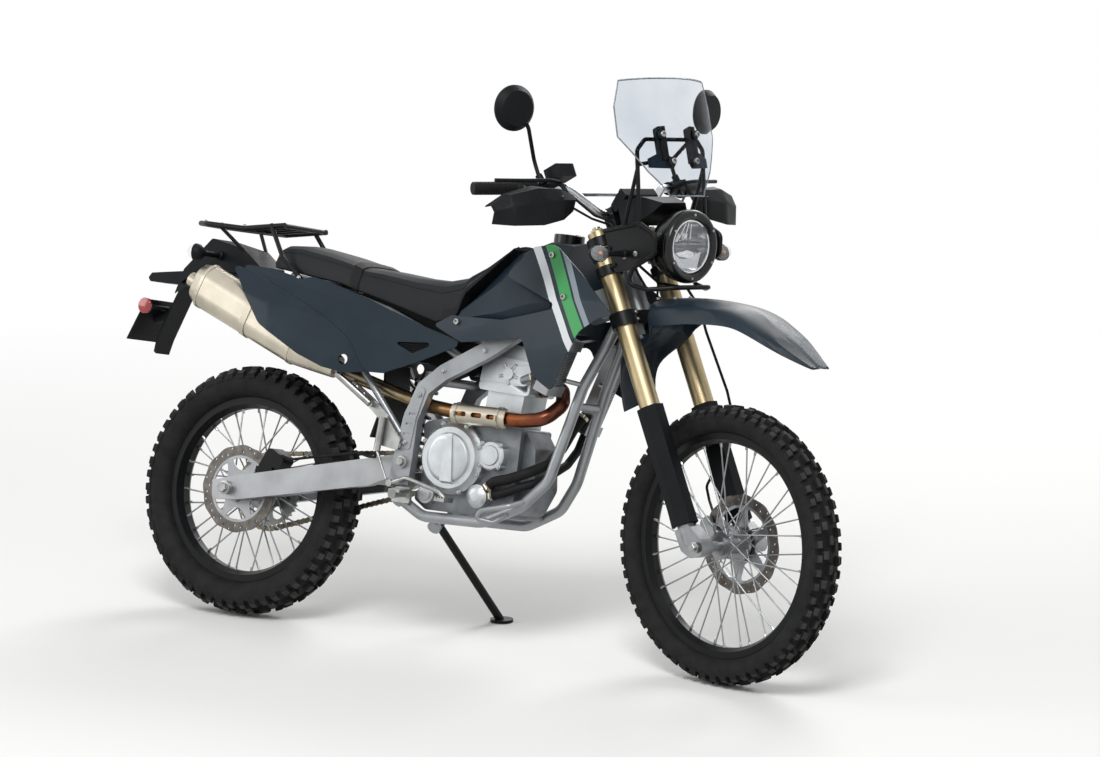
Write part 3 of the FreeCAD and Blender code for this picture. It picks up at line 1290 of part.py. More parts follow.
def assemble():
    """All nodes in the parked pose, standing on the floor and centred."""
    nodes = {}
    for makers, frame in ((chassis_nodes, None), (rear_wheel_nodes, None), (stand_nodes, None),
                          (steering_nodes, steer_frame), (front_wheel_nodes, steer_frame)):
        for maker in makers:
            shape = maker()
            if frame is not None:
                shape.Placement = steer_turn.multiply(frame).multiply(shape.Placement)
            shape.Placement = lean_turn.multiply(shape.Placement)
            nodes[maker.__name__] = shape
    whole = Part.makeCompound(list(nodes.values())).BoundBox
    shift = V(-whole.Center.x, -whole.Center.y, -floor_level)
    for shape in nodes.values():
        shape.translate(shift)
    return nodes, shift


nodes, shift = assemble()
for name, shape in nodes.items():
    shape.exportStep("parts/" + name + ".step")
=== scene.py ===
"""Dual sport motorcycle parked on its side stand, dressed for rendering."""
import json
from math import asin, atan2, copysign, cos, hypot, pi, radians, sin, sqrt

import bmesh
import bpy
from mathutils import Matrix, Vector


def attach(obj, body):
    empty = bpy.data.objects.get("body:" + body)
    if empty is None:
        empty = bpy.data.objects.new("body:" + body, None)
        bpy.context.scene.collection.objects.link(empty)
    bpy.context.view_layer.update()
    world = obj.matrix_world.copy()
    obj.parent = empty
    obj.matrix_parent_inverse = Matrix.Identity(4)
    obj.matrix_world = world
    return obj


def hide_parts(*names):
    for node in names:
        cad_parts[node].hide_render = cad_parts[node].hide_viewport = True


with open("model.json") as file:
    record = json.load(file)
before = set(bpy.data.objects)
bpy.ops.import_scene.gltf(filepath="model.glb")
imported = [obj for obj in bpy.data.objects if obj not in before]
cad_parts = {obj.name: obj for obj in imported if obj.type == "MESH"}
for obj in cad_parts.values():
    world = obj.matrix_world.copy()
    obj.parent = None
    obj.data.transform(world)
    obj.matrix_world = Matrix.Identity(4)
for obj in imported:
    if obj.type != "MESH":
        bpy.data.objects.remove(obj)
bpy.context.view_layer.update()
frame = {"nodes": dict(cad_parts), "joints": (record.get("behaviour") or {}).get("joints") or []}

# The motorcycle's own axes. It leans on its stand with its fork turned, so each piece
# is placed in the axes of the upright motorcycle or of the fork, and both follow
# from the two wheel axles and the steering axis.
RAKE = radians(26.7)
WHEELBASE = 1.440
TRAIL = 0.107
REAR_RADIUS = 0.325
FRONT_RADIUS = 0.346
joint = {j["name"]: j for j in frame["joints"]}
rear_axle = Vector(joint["rear_wheel_spin"]["pos_m"])
front_axle = Vector(joint["front_wheel_spin"]["pos_m"])
rear_across = Vector(joint["rear_wheel_spin"]["axis"]).normalized()
front_across = Vector(joint["front_wheel_spin"]["axis"]).normalized()
steering_up = Vector(joint["steering_turn"]["axis"]).normalized()


def axes(x, y, z, own_spot, spot):
    """Matrix of a frame with these unit axes, in which own_spot lies at spot."""
    turn = Matrix((x, y, z)).transposed()
    return Matrix.Translation(spot - turn @ own_spot) @ turn.to_4x4()


level = rear_across.cross(steering_up)
bike = axes(
    level * cos(RAKE) - steering_up * sin(RAKE),
    rear_across,
    level * sin(RAKE) + steering_up * cos(RAKE),
    Vector((-WHEELBASE / 2, 0, REAR_RADIUS)),
    rear_axle,
)
AXLE_U = TRAIL * sin(RAKE) + FRONT_RADIUS * cos(RAKE)
AXLE_F = FRONT_RADIUS * sin(RAKE) - TRAIL * cos(RAKE)
fork = axes(
    front_across.cross(steering_up),
    front_across,
    steering_up,
    Vector((AXLE_F, 0, AXLE_U)),
    front_axle,
)
AXES = {"chassis": bike, "rear_wheel": bike, "steering": fork, "front_wheel": fork}

# Main frame of welded steel: pressed spars down each side, and round tubes under the
# engine and the seat. It is powder coated silver, which gives a satin coat with a
# faint orange peel.
MM = 0.001


def linear(code):
    """A colour written as sRGB hex, turned linear."""
    parts = [int(code[i : i + 2], 16) / 255 for i in (1, 3, 5)]
    return [c / 12.92 if c < 0.04045 else ((c + 0.055) / 1.055) ** 2.4 for c in parts] + [1]


def add(tree, kind, inputs=None, **settings):
    """Adds a node with its settings, and fills or links its inputs."""
    made = tree.nodes.new(kind)
    for name, value in settings.items():
        setattr(made, name, value)
    for name, value in (inputs or {}).items():
        if isinstance(value, bpy.types.NodeSocket):
            tree.links.new(value, made.inputs[name])
        else:
            made.inputs[name].default_value = value
    return made


def surface(name, slot="", **sockets):
    """A new material for one of the record's slots, its node tree and its shader."""
    material = bpy.data.materials.new(name)
    material["slot"] = slot
    material.use_nodes = True
    tree = material.node_tree
    shader = tree.nodes["Principled BSDF"]
    for socket, value in sockets.items():
        shader.inputs[socket.replace("_", " ")].default_value = value
    return material, tree, shader


def mottle(tree, shader, light, dark, patch):
    """Colour that drifts between two tones over patches of this size in mm."""
    spot = add(tree, "ShaderNodeTexCoord").outputs["Object"]
    cloud = add(tree, "ShaderNodeTexNoise", {"Vector": spot, "Scale": 1 / (patch * MM), "Detail": 4.0})
    ramp = add(tree, "ShaderNodeValToRGB", {"Fac": cloud.outputs["Fac"]})
    for stop, place, code in zip(ramp.color_ramp.elements, (0.35, 0.65), (dark, light)):
        stop.position = place
        stop.color = linear(code)
    tree.links.new(ramp.outputs["Color"], shader.inputs["Base Color"])
    return ramp


def grain(tree, shader, size, height, stretch=(1, 1, 1), detail=3.0):
    """Raised grain of this size in mm, this high in mm, drawn out along an axis."""
    spot = add(tree, "ShaderNodeTexCoord").outputs["Object"]
    drawn = add(tree, "ShaderNodeMapping", {"Vector": spot, "Scale": stretch}).outputs["Vector"]
    noise = add(tree, "ShaderNodeTexNoise", {"Vector": drawn, "Scale": 1 / (size * MM), "Detail": detail})
    bump = add(tree, "ShaderNodeBump",
               {"Height": noise.outputs["Fac"], "Strength": 1.0, "Distance": height * MM})
    tree.links.new(bump.outputs["Normal"], shader.inputs["Normal"])
    return noise


def scuffed(tree, shader, noise, low, high):
    """Roughness between two values, following a noise."""
    spread = add(tree, "ShaderNodeMapRange", {"Value": noise.outputs["Fac"], "To Min": low, "To Max": high})
    tree.links.new(spread.outputs["Result"], shader.inputs["Roughness"])


def finished(name, slot, tones, relief, rough, **sockets):
    """Material from (light, dark, patch), (size, height) of its grain and a range of roughness."""
    material, tree, shader = surface(name, slot, **sockets)
    mottle(tree, shader, *tones)
    scuffed(tree, shader, grain(tree, shader, *relief), *rough)
    return material


def dress(material, *names):
    """Gives CAD nodes their material."""
    for name in names:
        item = frame["nodes"][name]
        item.data.materials.clear()
        item.data.materials.append(material)


def placed(name, data):
    """A new object in the scene."""
    made = bpy.data.objects.new(name, data)
    bpy.context.scene.collection.objects.link(made)
    return made


def fitted(name, data, material, body, replaced=()):
    """Object of this material that rides on a body, and stands for the CAD nodes it replaces."""
    data.materials.clear()
    data.materials.append(material)
    made = placed(name, data)
    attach(made, body)
    if replaced:
        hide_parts(*replaced)
    return made


def softened(name, node, material, body, edge=1.0, sharp=40, rounded=False):
    """Copy of a CAD node with joined facets, and edges rolled this wide or a rounded skin."""
    mesh = frame["nodes"][node].data.copy()
    if "custom_normal" in mesh.attributes:
        mesh.attributes.remove(mesh.attributes["custom_normal"])
    built = bmesh.new()
    built.from_mesh(mesh)
    crease = built.edges.layers.float.new("crease_edge")
    bmesh.ops.remove_doubles(built, verts=built.verts, dist=0.05 * MM)
    bmesh.ops.dissolve_limit(built, angle_limit=radians(0.5), verts=built.verts, edges=built.edges)
    crisp = [e for e in built.edges if len(e.link_faces) == 2 and e.calc_face_angle(0) > radians(sharp)]
    if rounded:
        for e in crisp:
            e[crease] = 0.9
        bmesh.ops.join_triangles(built, faces=built.faces, angle_face_threshold=radians(40),
                                 angle_shape_threshold=radians(80))
    else:
        bmesh.ops.bevel(built, geom=crisp, offset=edge * MM, offset_type="OFFSET", segments=2,
                        profile=0.5, affect="EDGES", clamp_overlap=True)
        bmesh.ops.triangulate(built, faces=built.faces)
    built.to_mesh(mesh)
    built.free()
    mesh.shade_smooth()
    mesh.set_sharp_from_angle(angle=radians(sharp - 6))
    made = fitted(name, mesh, material, body, [node])
    if rounded:
        skin = made.modifiers.new("rounded skin", "SUBSURF")
        skin.levels = skin.render_levels = 2
    else:
        made.modifiers.new("flat faces", "WEIGHTED_NORMAL").keep_sharp = True


powder_coat = finished("silver powder coated steel", "frame_paint", ("#94979A", "#86898C", 60),
                       (1.6, 0.02), (0.30, 0.42), Metallic=0.55, Coat_Weight=0.15, Coat_Roughness=0.25)
dress(powder_coat, "frame_cradle", "subframe")
softened("rounded_spars", "frame_spars", powder_coat, "chassis", edge=2.5)

# Swingarm of extruded aluminium box section, its arms brushed lengthwise and clear
# anodised, so light streaks along it.
brushed_alloy = finished("brushed aluminium", "aluminium", ("#A3A5A7", "#929496", 90),
                         (1.2, 0.02, (0.05, 1, 1)), (0.28, 0.42), Metallic=1.0)
softened("rounded_swingarm", "swingarm", brushed_alloy, "chassis", edge=5)

# Engine of die-cast aluminium, bead blasted and painted silver, which leaves a fine even
# grain. The covers and the cylinder are the same casting with a brighter skin.
cast_alloy = finished("blasted cast aluminium", "silver_cast", ("#7E8285", "#696D70", 45),
                      (1.5, 0.06), (0.42, 0.58), Metallic=0.75)
cover_alloy = finished("satin cast aluminium", "silver_cast", ("#BEC2C4", "#AEB2B4", 45),
                       (1.2, 0.03), (0.30, 0.44), Metallic=0.85)
softened("cast_crankcase", "crankcase", cast_alloy, "chassis", edge=2)
softened("cast_cylinder", "cylinder", cover_alloy, "chassis", edge=2)
softened("cast_covers", "engine_covers", cover_alloy, "chassis", edge=1.2)

# Exhaust header of stainless tube, coloured copper and straw by its heat, and a
# satin stainless muffler brushed along its length.
HEADER_REAR = -0.42
HEADER_FRONT = 0.26
heated_steel, tree, shader = surface("heat-tinted stainless steel", "exhaust_steel", Metallic=1.0)
tint = mottle(tree, shader, "#FFFFFF", "#C8BDB4", 45)
spot = add(tree, "ShaderNodeTexCoord").outputs["Object"]
along = add(tree, "ShaderNodeSeparateXYZ", {"Vector": spot}).outputs["X"]
hotter = add(tree, "ShaderNodeMapRange", {"Value": along, "From Min": HEADER_REAR, "From Max": HEADER_FRONT})
heat = add(tree, "ShaderNodeValToRGB", {"Fac": hotter.outputs["Result"]})
for place, code in ((0.30, "#8F8268"), (0.55, "#8C6A45"), (0.78, "#9A5A35")):
    heat.color_ramp.elements.new(place).color = linear(code)
heat.color_ramp.elements[0].color = linear("#9A9284")
heat.color_ramp.elements[-1].color = linear("#6E4438")
both = add(tree, "ShaderNodeMix", {0: 1.0, 6: heat.outputs["Color"], 7: tint.outputs["Color"]},
           data_type="RGBA", blend_type="MULTIPLY")
tree.links.new(both.outputs[2], shader.inputs["Base Color"])
scuffed(tree, shader, grain(tree, shader, 1.5, 0.02), 0.25, 0.40)
dress(heated_steel, "exhaust_pipe")
satin_steel = finished("brushed stainless steel", "exhaust_steel", ("#C4BDAD", "#ADA697", 110),
                       (1.2, 0.02, (0.06, 1, 1)), (0.28, 0.42), Metallic=1.0)
dress(satin_steel, "muffler", "heat_guard")

# Axles, pegs, levers and sprockets turned or forged from steel and zinc plated, which
# leaves a dull, slightly cloudy grey.
plated_steel = finished("zinc-plated steel", "steel", ("#A9AAA8", "#8D8E8C", 30),
                        (1.5, 0.02), (0.28, 0.45), Metallic=1.0)
dress(plated_steel, "rear_axle_set", "footpegs", "foot_controls", "output_sprocket", "rear_sprocket")

# Hubs, fork legs and front caliper of aluminium, machined where they fit, and the tanks
# of the radiators. Fine tool marks dull the bare metal.
machined_alloy = finished("machined aluminium", "aluminium", ("#9C9EA0", "#888A8C", 50),
                          (1.2, 0.015), (0.30, 0.42), Metallic=1.0)
dress(machined_alloy, "rear_hub", "front_hub", "radiators", "fork_legs", "front_caliper")

# Handlebar of drawn aluminium tube, bent and clear anodised, which makes it the
# brightest metal of the motorcycle.
bar_alloy = finished("clear anodised aluminium tube", "bar", ("#CDD0D2", "#BABDBF", 60),
                     (1.2, 0.01), (0.18, 0.28), Metallic=1.0)
dress(bar_alloy, "handlebar")

# Guards, boxes, switches, cowl and rear fender, moulded in black polypropylene. It is
# dyed through, and the mould's fine grain keeps it from shining.
black_plastic = finished("moulded black polypropylene", "black_plastic", ("#131517", "#0E0F11", 80),
                         (1.2, 0.03), (0.42, 0.55), Specular_IOR_Level=0.12)
dress(black_plastic, "intake", "plate_bracket", "controls", "mirrors", "tail_lamp")
softened("moulded_rear_fender", "rear_fender", black_plastic, "chassis")
softened("moulded_hand_guards", "hand_guards", black_plastic, "steering")
softened("moulded_instrument", "instrument", black_plastic, "steering")
softened("moulded_fork_guards", "fork_guards", black_plastic, "steering", edge=6, sharp=25)

# Rack, lamp cage, stand, rims, fork clamps and rear caliper in black powder coat, a
# smooth satin skin with a thin line of light along each edge.
black_coat = finished("black powder coated steel", "black_paint", ("#121315", "#0C0D0E", 60),
                      (1.6, 0.02), (0.30, 0.42), Specular_IOR_Level=0.16)
dress(black_coat, "rear_caliper", "luggage_rack", "lamp_cage", "side_stand", "front_rim", "rear_rim",
      "triple_clamps")

# Coolant hoses, brake hoses and cables, covered in black rubber. It is matt and soft
# edged beside the plastics.
rubber = finished("moulded rubber", "black_rubber", ("#161617", "#0F0F10", 40),
                  (1.2, 0.05), (0.55, 0.7), Specular_IOR_Level=0.18)
dress(rubber, "coolant_hoses", "rear_brake_hose", "control_cables", "front_brake_hose")

# Body panels injection moulded in coloured plastic, a dark slate blue with a satin
# sheen. The shrouds carry plain slanted bands of cut film in white, green and grey.
BANDS = [(0.0, None), (0.36, "#C9CDD0"), (0.43, None), (0.47, "#3F8F52"), (0.575, None),
         (0.595, "#7C868D"), (0.645, None)]
ACROSS_BANDS = (0.80, 0, 0.60)


def slate(name):
    """Satin slate plastic: its material, tree, shader and colour."""
    material, tree, shader = surface(name, "body_plastic", Specular_IOR_Level=0.22)
    colour = mottle(tree, shader, "#1A2730", "#15212A", 120)
    scuffed(tree, shader, grain(tree, shader, 9.0, 0.002), 0.34, 0.44)
    return material, tree, shader, colour


slate_plastic = slate("satin slate ABS")[0]
banded_plastic, tree, shader, colour = slate("satin slate ABS with film bands")
inward = bike.inverted()
spot = add(tree, "ShaderNodeTexCoord").outputs["Object"]
turned = add(tree, "ShaderNodeMapping",
             {"Vector": spot, "Location": inward.to_translation(), "Rotation": inward.to_euler()})
along = add(tree, "ShaderNodeVectorMath", {0: turned.outputs["Vector"], 1: ACROSS_BANDS},
            operation="DOT_PRODUCT")
share = add(tree, "ShaderNodeMapRange", {"Value": along.outputs["Value"], "From Min": 0.60, "From Max": 0.90})
masks = add(tree, "ShaderNodeValToRGB", {"Fac": share.outputs["Result"]})
tints = add(tree, "ShaderNodeValToRGB", {"Fac": share.outputs["Result"]})
for ramp in (masks.color_ramp, tints.color_ramp):
    ramp.interpolation = "CONSTANT"
    while len(ramp.elements) < len(BANDS):
        ramp.elements.new(0.99)
for i, (start, tint) in enumerate(BANDS):
    masks.color_ramp.elements[i].position = start
    masks.color_ramp.elements[i].color = linear("#FFFFFF") if tint else linear("#000000")
    tints.color_ramp.elements[i].position = start
    tints.color_ramp.elements[i].color = linear(tint or "#000000")
mixed = add(tree, "ShaderNodeMix",
            {0: masks.outputs["Color"], 6: colour.outputs["Color"], 7: tints.outputs["Color"]},
            data_type="RGBA")
tree.links.new(mixed.outputs[2], shader.inputs["Base Color"])
softened("moulded_shrouds", "shrouds", banded_plastic, "chassis")
for node in ("side_covers", "rear_panels", "fuel_tank"):
    softened("moulded_" + node, node, slate_plastic, "chassis")
softened("moulded_front_fender", "front_fender", slate_plastic, "steering", sharp=60, rounded=True)

# Fork tubes drawn from aluminium, ground lengthwise and anodised gold, so they shine in
# soft upright streaks.
gold_alloy = finished("gold anodised aluminium", "gold", ("#B4A482", "#A09070", 90),
                      (1.2, 0.01, (1, 1, 0.1)), (0.32, 0.44), Metallic=1.0)
dress(gold_alloy, "fork_tubes")

# Tyres moulded in black rubber for loose ground. Blocks stand on the crown in three rows
# a side, with plain sidewalls below them. The rubber is matt and worn paler on the tips.
def skin_faces(count, rings, closed_ends=True):
    """Faces between this many rings of equal count, and over both end rings."""
    faces = []
    for k in range(rings - 1):
        for i in range(count):
            j = (i + 1) % count
            faces.append((k * count + i, k * count + j, (k + 1) * count + j, (k + 1) * count + i))
    if closed_ends:
        faces.append(tuple(range(count))[::-1])
        faces.append(tuple((rings - 1) * count + i for i in range(count)))
    return faces


def loft(rings):
    """Points and faces of a skin through equal closed rings."""
    return [p for ring in rings for p in ring], skin_faces(len(rings[0]), len(rings))


def lathe(profile, spot, way, segments=24):
    """Points and faces turned about a line from (distance along it, radius) pairs."""
    way = Vector(way).normalized()
    one = way.orthogonal().normalized()
    two = way.cross(one)
    spots = []
    for along, radius in profile:
        for i in range(segments):
            turn = 2 * pi * i / segments
            spots.append(Vector(spot) + way * along + (one * cos(turn) + two * sin(turn)) * radius)
    return spots, skin_faces(segments, len(profile), profile[0] != profile[-1])


def piece(name, shapes, material, body, replaced=(), sharp=32):
    """One mesh of several shapes, whose points are in mm in the body's axes."""
    spots = []
    faces = []
    for some_spots, some_faces in shapes:
        start = len(spots)
        spots += [AXES[body] @ (Vector(p) * MM) for p in some_spots]
        faces += [tuple(start + i for i in face) for face in some_faces]
    mesh = bpy.data.meshes.new(name)
    mesh.from_pydata(spots, [], faces)
    built = bmesh.new()
    built.from_mesh(mesh)
    bmesh.ops.remove_doubles(built, verts=built.verts, dist=0.02 * MM)
    bmesh.ops.recalc_face_normals(built, faces=built.faces)
    built.to_mesh(mesh)
    built.free()
    mesh.shade_smooth()
    mesh.set_sharp_from_angle(angle=radians(sharp))
    return fitted(name, mesh, material, body, replaced)


FRONT_HUB = (AXLE_F / MM, AXLE_U / MM)
REAR_HUB = (-720, 325)
LUG_DEPTH = 9.5
SHOULDER_DROP = 0.38
# Drop of the lugs' tips below the crown at shares of the half width
TIP_DROP = [(0.0, 0.0), (0.46, 0.045), (0.55, 0.12), (0.99, 0.35)]
# Rows of lugs: inner and outer edge as shares of the half width, length, how far round of
# a pitch, and how many to a pitch
LUG_ROWS = [(0.05, 0.34, 27, 0.0, 1), (0.38, 0.68, 25, 0.5, 1), (0.72, 0.99, 22, 0.25, 2)]


def between(table, x):
    """Straight line between the rows of a table."""
    for (x0, y0), (x1, y1) in zip(table, table[1:]):
        if x <= x1:
            return y0 + (y1 - y0) * (x - x0) / (x1 - x0)
    return table[-1][1]


def knobbly_tyre(radius, half, seat, flange, flange_y, pitches, x, z):
    """Carcass and lugs of one tyre, axle across at (x, z)."""
    bead = flange_y - 0.3
    height = radius - seat
    crown = radius - LUG_DEPTH
    profile = [(-bead, seat + 0.3), (bead, seat + 0.3), (bead, flange)]
    profile += [(half * 0.70, flange + 0.05 * height), (half * 0.86, flange + 0.15 * height),
                (half * 0.94, flange + 0.30 * height), (half * 0.965, seat + 0.55 * height)]
    profile += [(half * w, crown - SHOULDER_DROP * half * w ** 1.25) for w in (0.95, 0.8, 0.6, 0.4, 0.2, 0.0)]
    profile += [(-y, r) for y, r in profile[-2:2:-1]]
    profile += [(-bead, flange), (-bead, seat + 0.3)]
    shapes = [lathe(profile, (x, 0, z), (0, 1, 0), 150)]
    worn = []
    for side in (1, -1):
        for inner, outer, length, shift, per_pitch in LUG_ROWS:
            count = pitches * per_pitch
            for i in range(count):
                angle = 2 * pi * (i + shift + (0.25 if side > 0 else 0.5)) / count
                outward = Vector((cos(angle), 0, sin(angle)))
                ahead = Vector((-sin(angle), 0, cos(angle)))
                rings = []
                for depth, shrink in ((-LUG_DEPTH - 3, 0), (-1.2, 1.6), (0, 2.8)):
                    ring = []
                    for share, along in ((inner, -1), (inner, 1), (outer, 1), (outer, -1)):
                        low = SHOULDER_DROP * half * share ** 1.25 - between(TIP_DROP, share) * half
                        tip = radius - between(TIP_DROP, share) * half - 0.4
                        reach = tip + depth - (low if depth < -5 else 0)
                        inset = -shrink * 0.5 if share == outer else shrink * 0.5
                        y = side * (share * half + inset)
                        ring.append(Vector((x, 0, z)) + outward * reach + Vector((0, y, 0)) +
                                    ahead * along * (length / 2 - shrink))
                    rings.append(ring)
                shapes.append(loft(rings))
                worn.append(loft([[p + outward * rise for p in rings[-1]] for rise in (0.05, 0.35)]))
    return shapes, worn


tyre_rubber = finished("moulded tyre rubber", "tyre", ("#1D1D1E", "#121213", 35),
                       (1.4, 0.08), (0.62, 0.8), Specular_IOR_Level=0.18)
worn_rubber = finished("worn tread rubber", "tyre", ("#3B3B3A", "#2B2B2B", 25),
                       (1.4, 0.08), (0.7, 0.85), Specular_IOR_Level=0.2)
for end, tread, tips in (("front", *knobbly_tyre(346, 45, 266.5, 278, 21.5, 30, *FRONT_HUB)),
                         ("rear", *knobbly_tyre(325, 61, 228.5, 241, 29, 27, *REAR_HUB))):
    piece(end + "_knobbly_tyre", tread, tyre_rubber, end + "_wheel", [end + "_tyre"])
    piece(end + "_worn_tips", tips, worn_rubber, end + "_wheel")

# Brake discs: a drilled rotor of stainless steel with a waved edge, ground and browned by
# its pads, riveted to a carrier of pale alloy with windows between its arms.
def stamped(name, outlines, y, thick, hub, material, body, replaced=()):
    """Flat plate stamped from closed outlines of (x, z) points about a hub, holes among them."""
    data = bpy.data.curves.new(name, "CURVE")
    data.dimensions = "2D"
    data.fill_mode = "BOTH"
    data.extrude = thick / 2 * MM
    for outline in outlines:
        run = data.splines.new("POLY")
        run.points.add(len(outline) - 1)
        run.use_cyclic_u = True
        for point, (a, b) in zip(run.points, outline):
            point.co = (a * MM, b * MM, 0, 1)
    blank = bpy.data.objects.new(name + "_blank", data)
    mesh = bpy.data.meshes.new_from_object(blank)
    bpy.data.objects.remove(blank)
    upright = Matrix(((1, 0, 0, hub[0] * MM), (0, 0, -1, y * MM), (0, 1, 0, hub[1] * MM), (0, 0, 0, 1)))
    mesh.transform(AXES[body] @ upright)
    fitted(name, mesh, material, body, replaced)


def round_line(radius, count=96, at=(0, 0), wave=0.0, waves=12, start=0.0):
    """Circle of points, its radius waved, that starts this share of a step round."""
    line = []
    for i in range(count):
        turn = 2 * pi * (i + start) / count
        reach = radius + wave * cos(waves * turn)
        line.append((at[0] + reach * cos(turn), at[1] + reach * sin(turn)))
    return line


ground_steel = finished("ground brake steel", "steel", ("#6E6A66", "#55514D", 18),
                        (1.2, 0.02), (0.35, 0.5), Metallic=1.0)
for end, y, radius, carrier, hub in (("front", 44.3, 125, 98, FRONT_HUB), ("rear", -64.3, 115, 88, REAR_HUB)):
    holes = []
    for i in range(36):
        turn = 2 * pi * i / 36
        reach = carrier + (8, 14, 20)[i % 3]
        holes.append(round_line(2.8, 12, (reach * cos(turn), reach * sin(turn))))
    stamped(end + "_rotor", [round_line(radius - 1.8, 240, wave=1.5), round_line(carrier - 1)] + holes,
            y, 4, hub, ground_steel, end + "_wheel", [end + "_disc"])
    windows = []
    for i in range(6):
        middle = 2 * pi * (i + 0.5) / 6
        line = [(carrier - 9, -0.40), (carrier - 7, -0.2), (carrier - 7, 0.2), (carrier - 9, 0.40),
                (carrier - 16, 0.40), (52, 0.20), (48, 0.0), (52, -0.20), (carrier - 16, -0.40)]
        windows.append([(r * cos(middle + t), r * sin(middle + t)) for r, t in line])
    stamped(end + "_carrier", [round_line(carrier + 2), round_line(24.4, 48)] + windows,
            y, 3, hub, machined_alloy, end + "_wheel")

# Spoke nipples of zinc-plated steel, one at each spoke's end in the well of the rim. They
# are six-sided for a spanner and catch small points of light.
SPOKES = 36


def nipples(reach, rim_y, x, z):
    """Six-sided nipples round a rim."""
    shapes = []
    for i in range(SPOKES):
        side = 1 if i % 2 else -1
        turn = 2 * pi * (i + 0.5) / SPOKES
        inward = Vector((-cos(turn), 0, -sin(turn)))
        spot = Vector((x, side * rim_y, z)) - inward * reach
        shapes.append(lathe([(-2, 3.6), (8, 3.3), (11, 2.4)], spot, inward, 6))
    return shapes


piece("front_nipples", nipples(252, 7, *FRONT_HUB), plated_steel, "front_wheel")
piece("rear_nipples", nipples(213, 9, *REAR_HUB), plated_steel, "rear_wheel")

# Roller chain of hardened steel, oiled: waisted side plates on pins with rollers
# between them, a link for each tooth.
CHAIN_Y = 80
DRIVE = (-125, 455, 35.7)
DRIVEN = (*REAR_HUB, 98.5)
PITCH = 15.875
PLATE_THICK = 1.5


def chain_run():
    """Spots one pitch apart round both sprockets."""
    ax, az, small = DRIVE
    bx, bz, big = DRIVEN
    span = hypot(ax - bx, az - bz)
    slope = atan2(az - bz, ax - bx)
    split = asin((big - small) / span)
    run = span * cos(split)
    round_big = (pi + 2 * split) * big
    around = 2 * run + round_big + (pi - 2 * split) * small
    count = 2 * round(around / PITCH / 2)
    spots = []
    for i in range(count):
        gone = around * i / count
        top = slope + pi / 2 - split
        low = slope - pi / 2 + split
        if gone < run:
            angle, cx, cz, radius, on = top, ax, az, small, gone
        elif gone < run + round_big:
            angle, cx, cz, radius, on = top + (gone - run) / big, bx, bz, big, 0
        elif gone < 2 * run + round_big:
            angle, cx, cz, radius, on = low, bx, bz, big, gone - run - round_big
        else:
            angle, cx, cz, radius, on = low + (gone - 2 * run - round_big) / small, ax, az, small, 0
        spots.append(Vector((cx + radius * cos(angle) - on * sin(angle), 0,
                             cz + radius * sin(angle) + on * cos(angle))))
    return spots


def waisted_plate(a, b, y, thick, tall):
    """Side plate of a link between two pins."""
    ahead = (b - a).normalized()
    up = Vector((-ahead.z, 0, ahead.x))
    outline = []
    for end, sign in ((b, 1), (a, -1)):
        for k in range(7):
            turn = radians(-75 + 25 * k)
            outline.append(end + ahead * sign * tall * cos(turn) + up * sign * tall * sin(turn))
    middle = (a + b) / 2
    outline.insert(7, middle + up * tall * 0.72)
    outline.append(middle - up * tall * 0.72)
    return loft([[p + Vector((0, s, 0)) for p in outline] for s in (y, y + thick)])


chain_spots = chain_run()
links = []
for i, spot in enumerate(chain_spots):
    following = chain_spots[(i + 1) % len(chain_spots)]
    gap = 5.2 if i % 2 else 6.9
    for near in (CHAIN_Y + gap, CHAIN_Y - gap - PLATE_THICK):
        links.append(waisted_plate(spot, following, near, PLATE_THICK, 6.6))
    for reach, radius, sides in ((5, 5, 12), (8.7, 2.2, 8)):
        links.append(lathe([(-reach, radius), (reach, radius)], spot + Vector((0, CHAIN_Y, 0)),
                           (0, 1, 0), sides))
chain_steel = finished("oiled chain steel", "steel", ("#8C8472", "#5F5A50", 18),
                       (1.5, 0.03), (0.35, 0.5), Metallic=1.0)
piece("chain_links", links, chain_steel, "chassis", ["drive_chain"])

# Seat of moulded foam under black vinyl, stapled to its pan. A sewn seam runs along each
# side below the top panel, and a strap crosses it between the rider's and the rear part.
SEAT_TOP = [(-670, 960), (-650, 970), (-588, 973), (-500, 960), (-430, 946), (-390, 932), (-332, 930),
            (-235, 921), (-153, 920), (-97, 934), (-38, 968), (8, 1006), (36, 1026)]
SEAT_FOOT = [(-670, 906), (-449, 881), (-351, 858), (-259, 836), (-151, 806), (-94, 826), (-80, 886),
             (36, 1014)]
SEAT_EDGE = [(-670, 92), (-600, 104), (-420, 111), (-220, 110), (-90, 102), (36, 74)]
SEAT_CREASE = [(-670, 82), (-600, 97), (-420, 103), (-220, 98), (-90, 84), (36, 58)]
SEAT_CROWN = [(-670, 56), (-600, 66), (-420, 70), (-220, 66), (-90, 52), (36, 36)]
STRAP = [(-422, 0.5), (-420, 3.2), (-416, 3.8), (-398, 3.8), (-394, 3.2), (-392, 0.5)]


def seat_ring(x, out=0.0):
    """Section of the seat at x, right round, this far outside its cover."""
    foot, top, edge, crease, crown = [
        between(table, x) for table in (SEAT_FOOT, SEAT_TOP, SEAT_EDGE, SEAT_CREASE, SEAT_CROWN)]
    tall = max(top - foot, 8)
    half = [(0, foot + 1), (edge - 8, foot), (edge + out, foot + 0.06 * tall),
            (edge + 1 + out, foot + 0.28 * tall), (crease + 2 + out, foot + 0.56 * tall),
            (crease + out, foot + 0.66 * tall), (crease - 1.5 + out, foot + 0.70 * tall + out),
            (crease - 5 + out, foot + 0.84 * tall + out), (crown + 10 + out, top - 4.5 + out),
            (crown + out, top - 2 + out), (crown * 0.5, top + 0.5 + out), (0, top + 1.0 + out)]
    return [(x, y, z) for y, z in half] + [(x, -y, z) for y, z in half[-2:0:-1]]


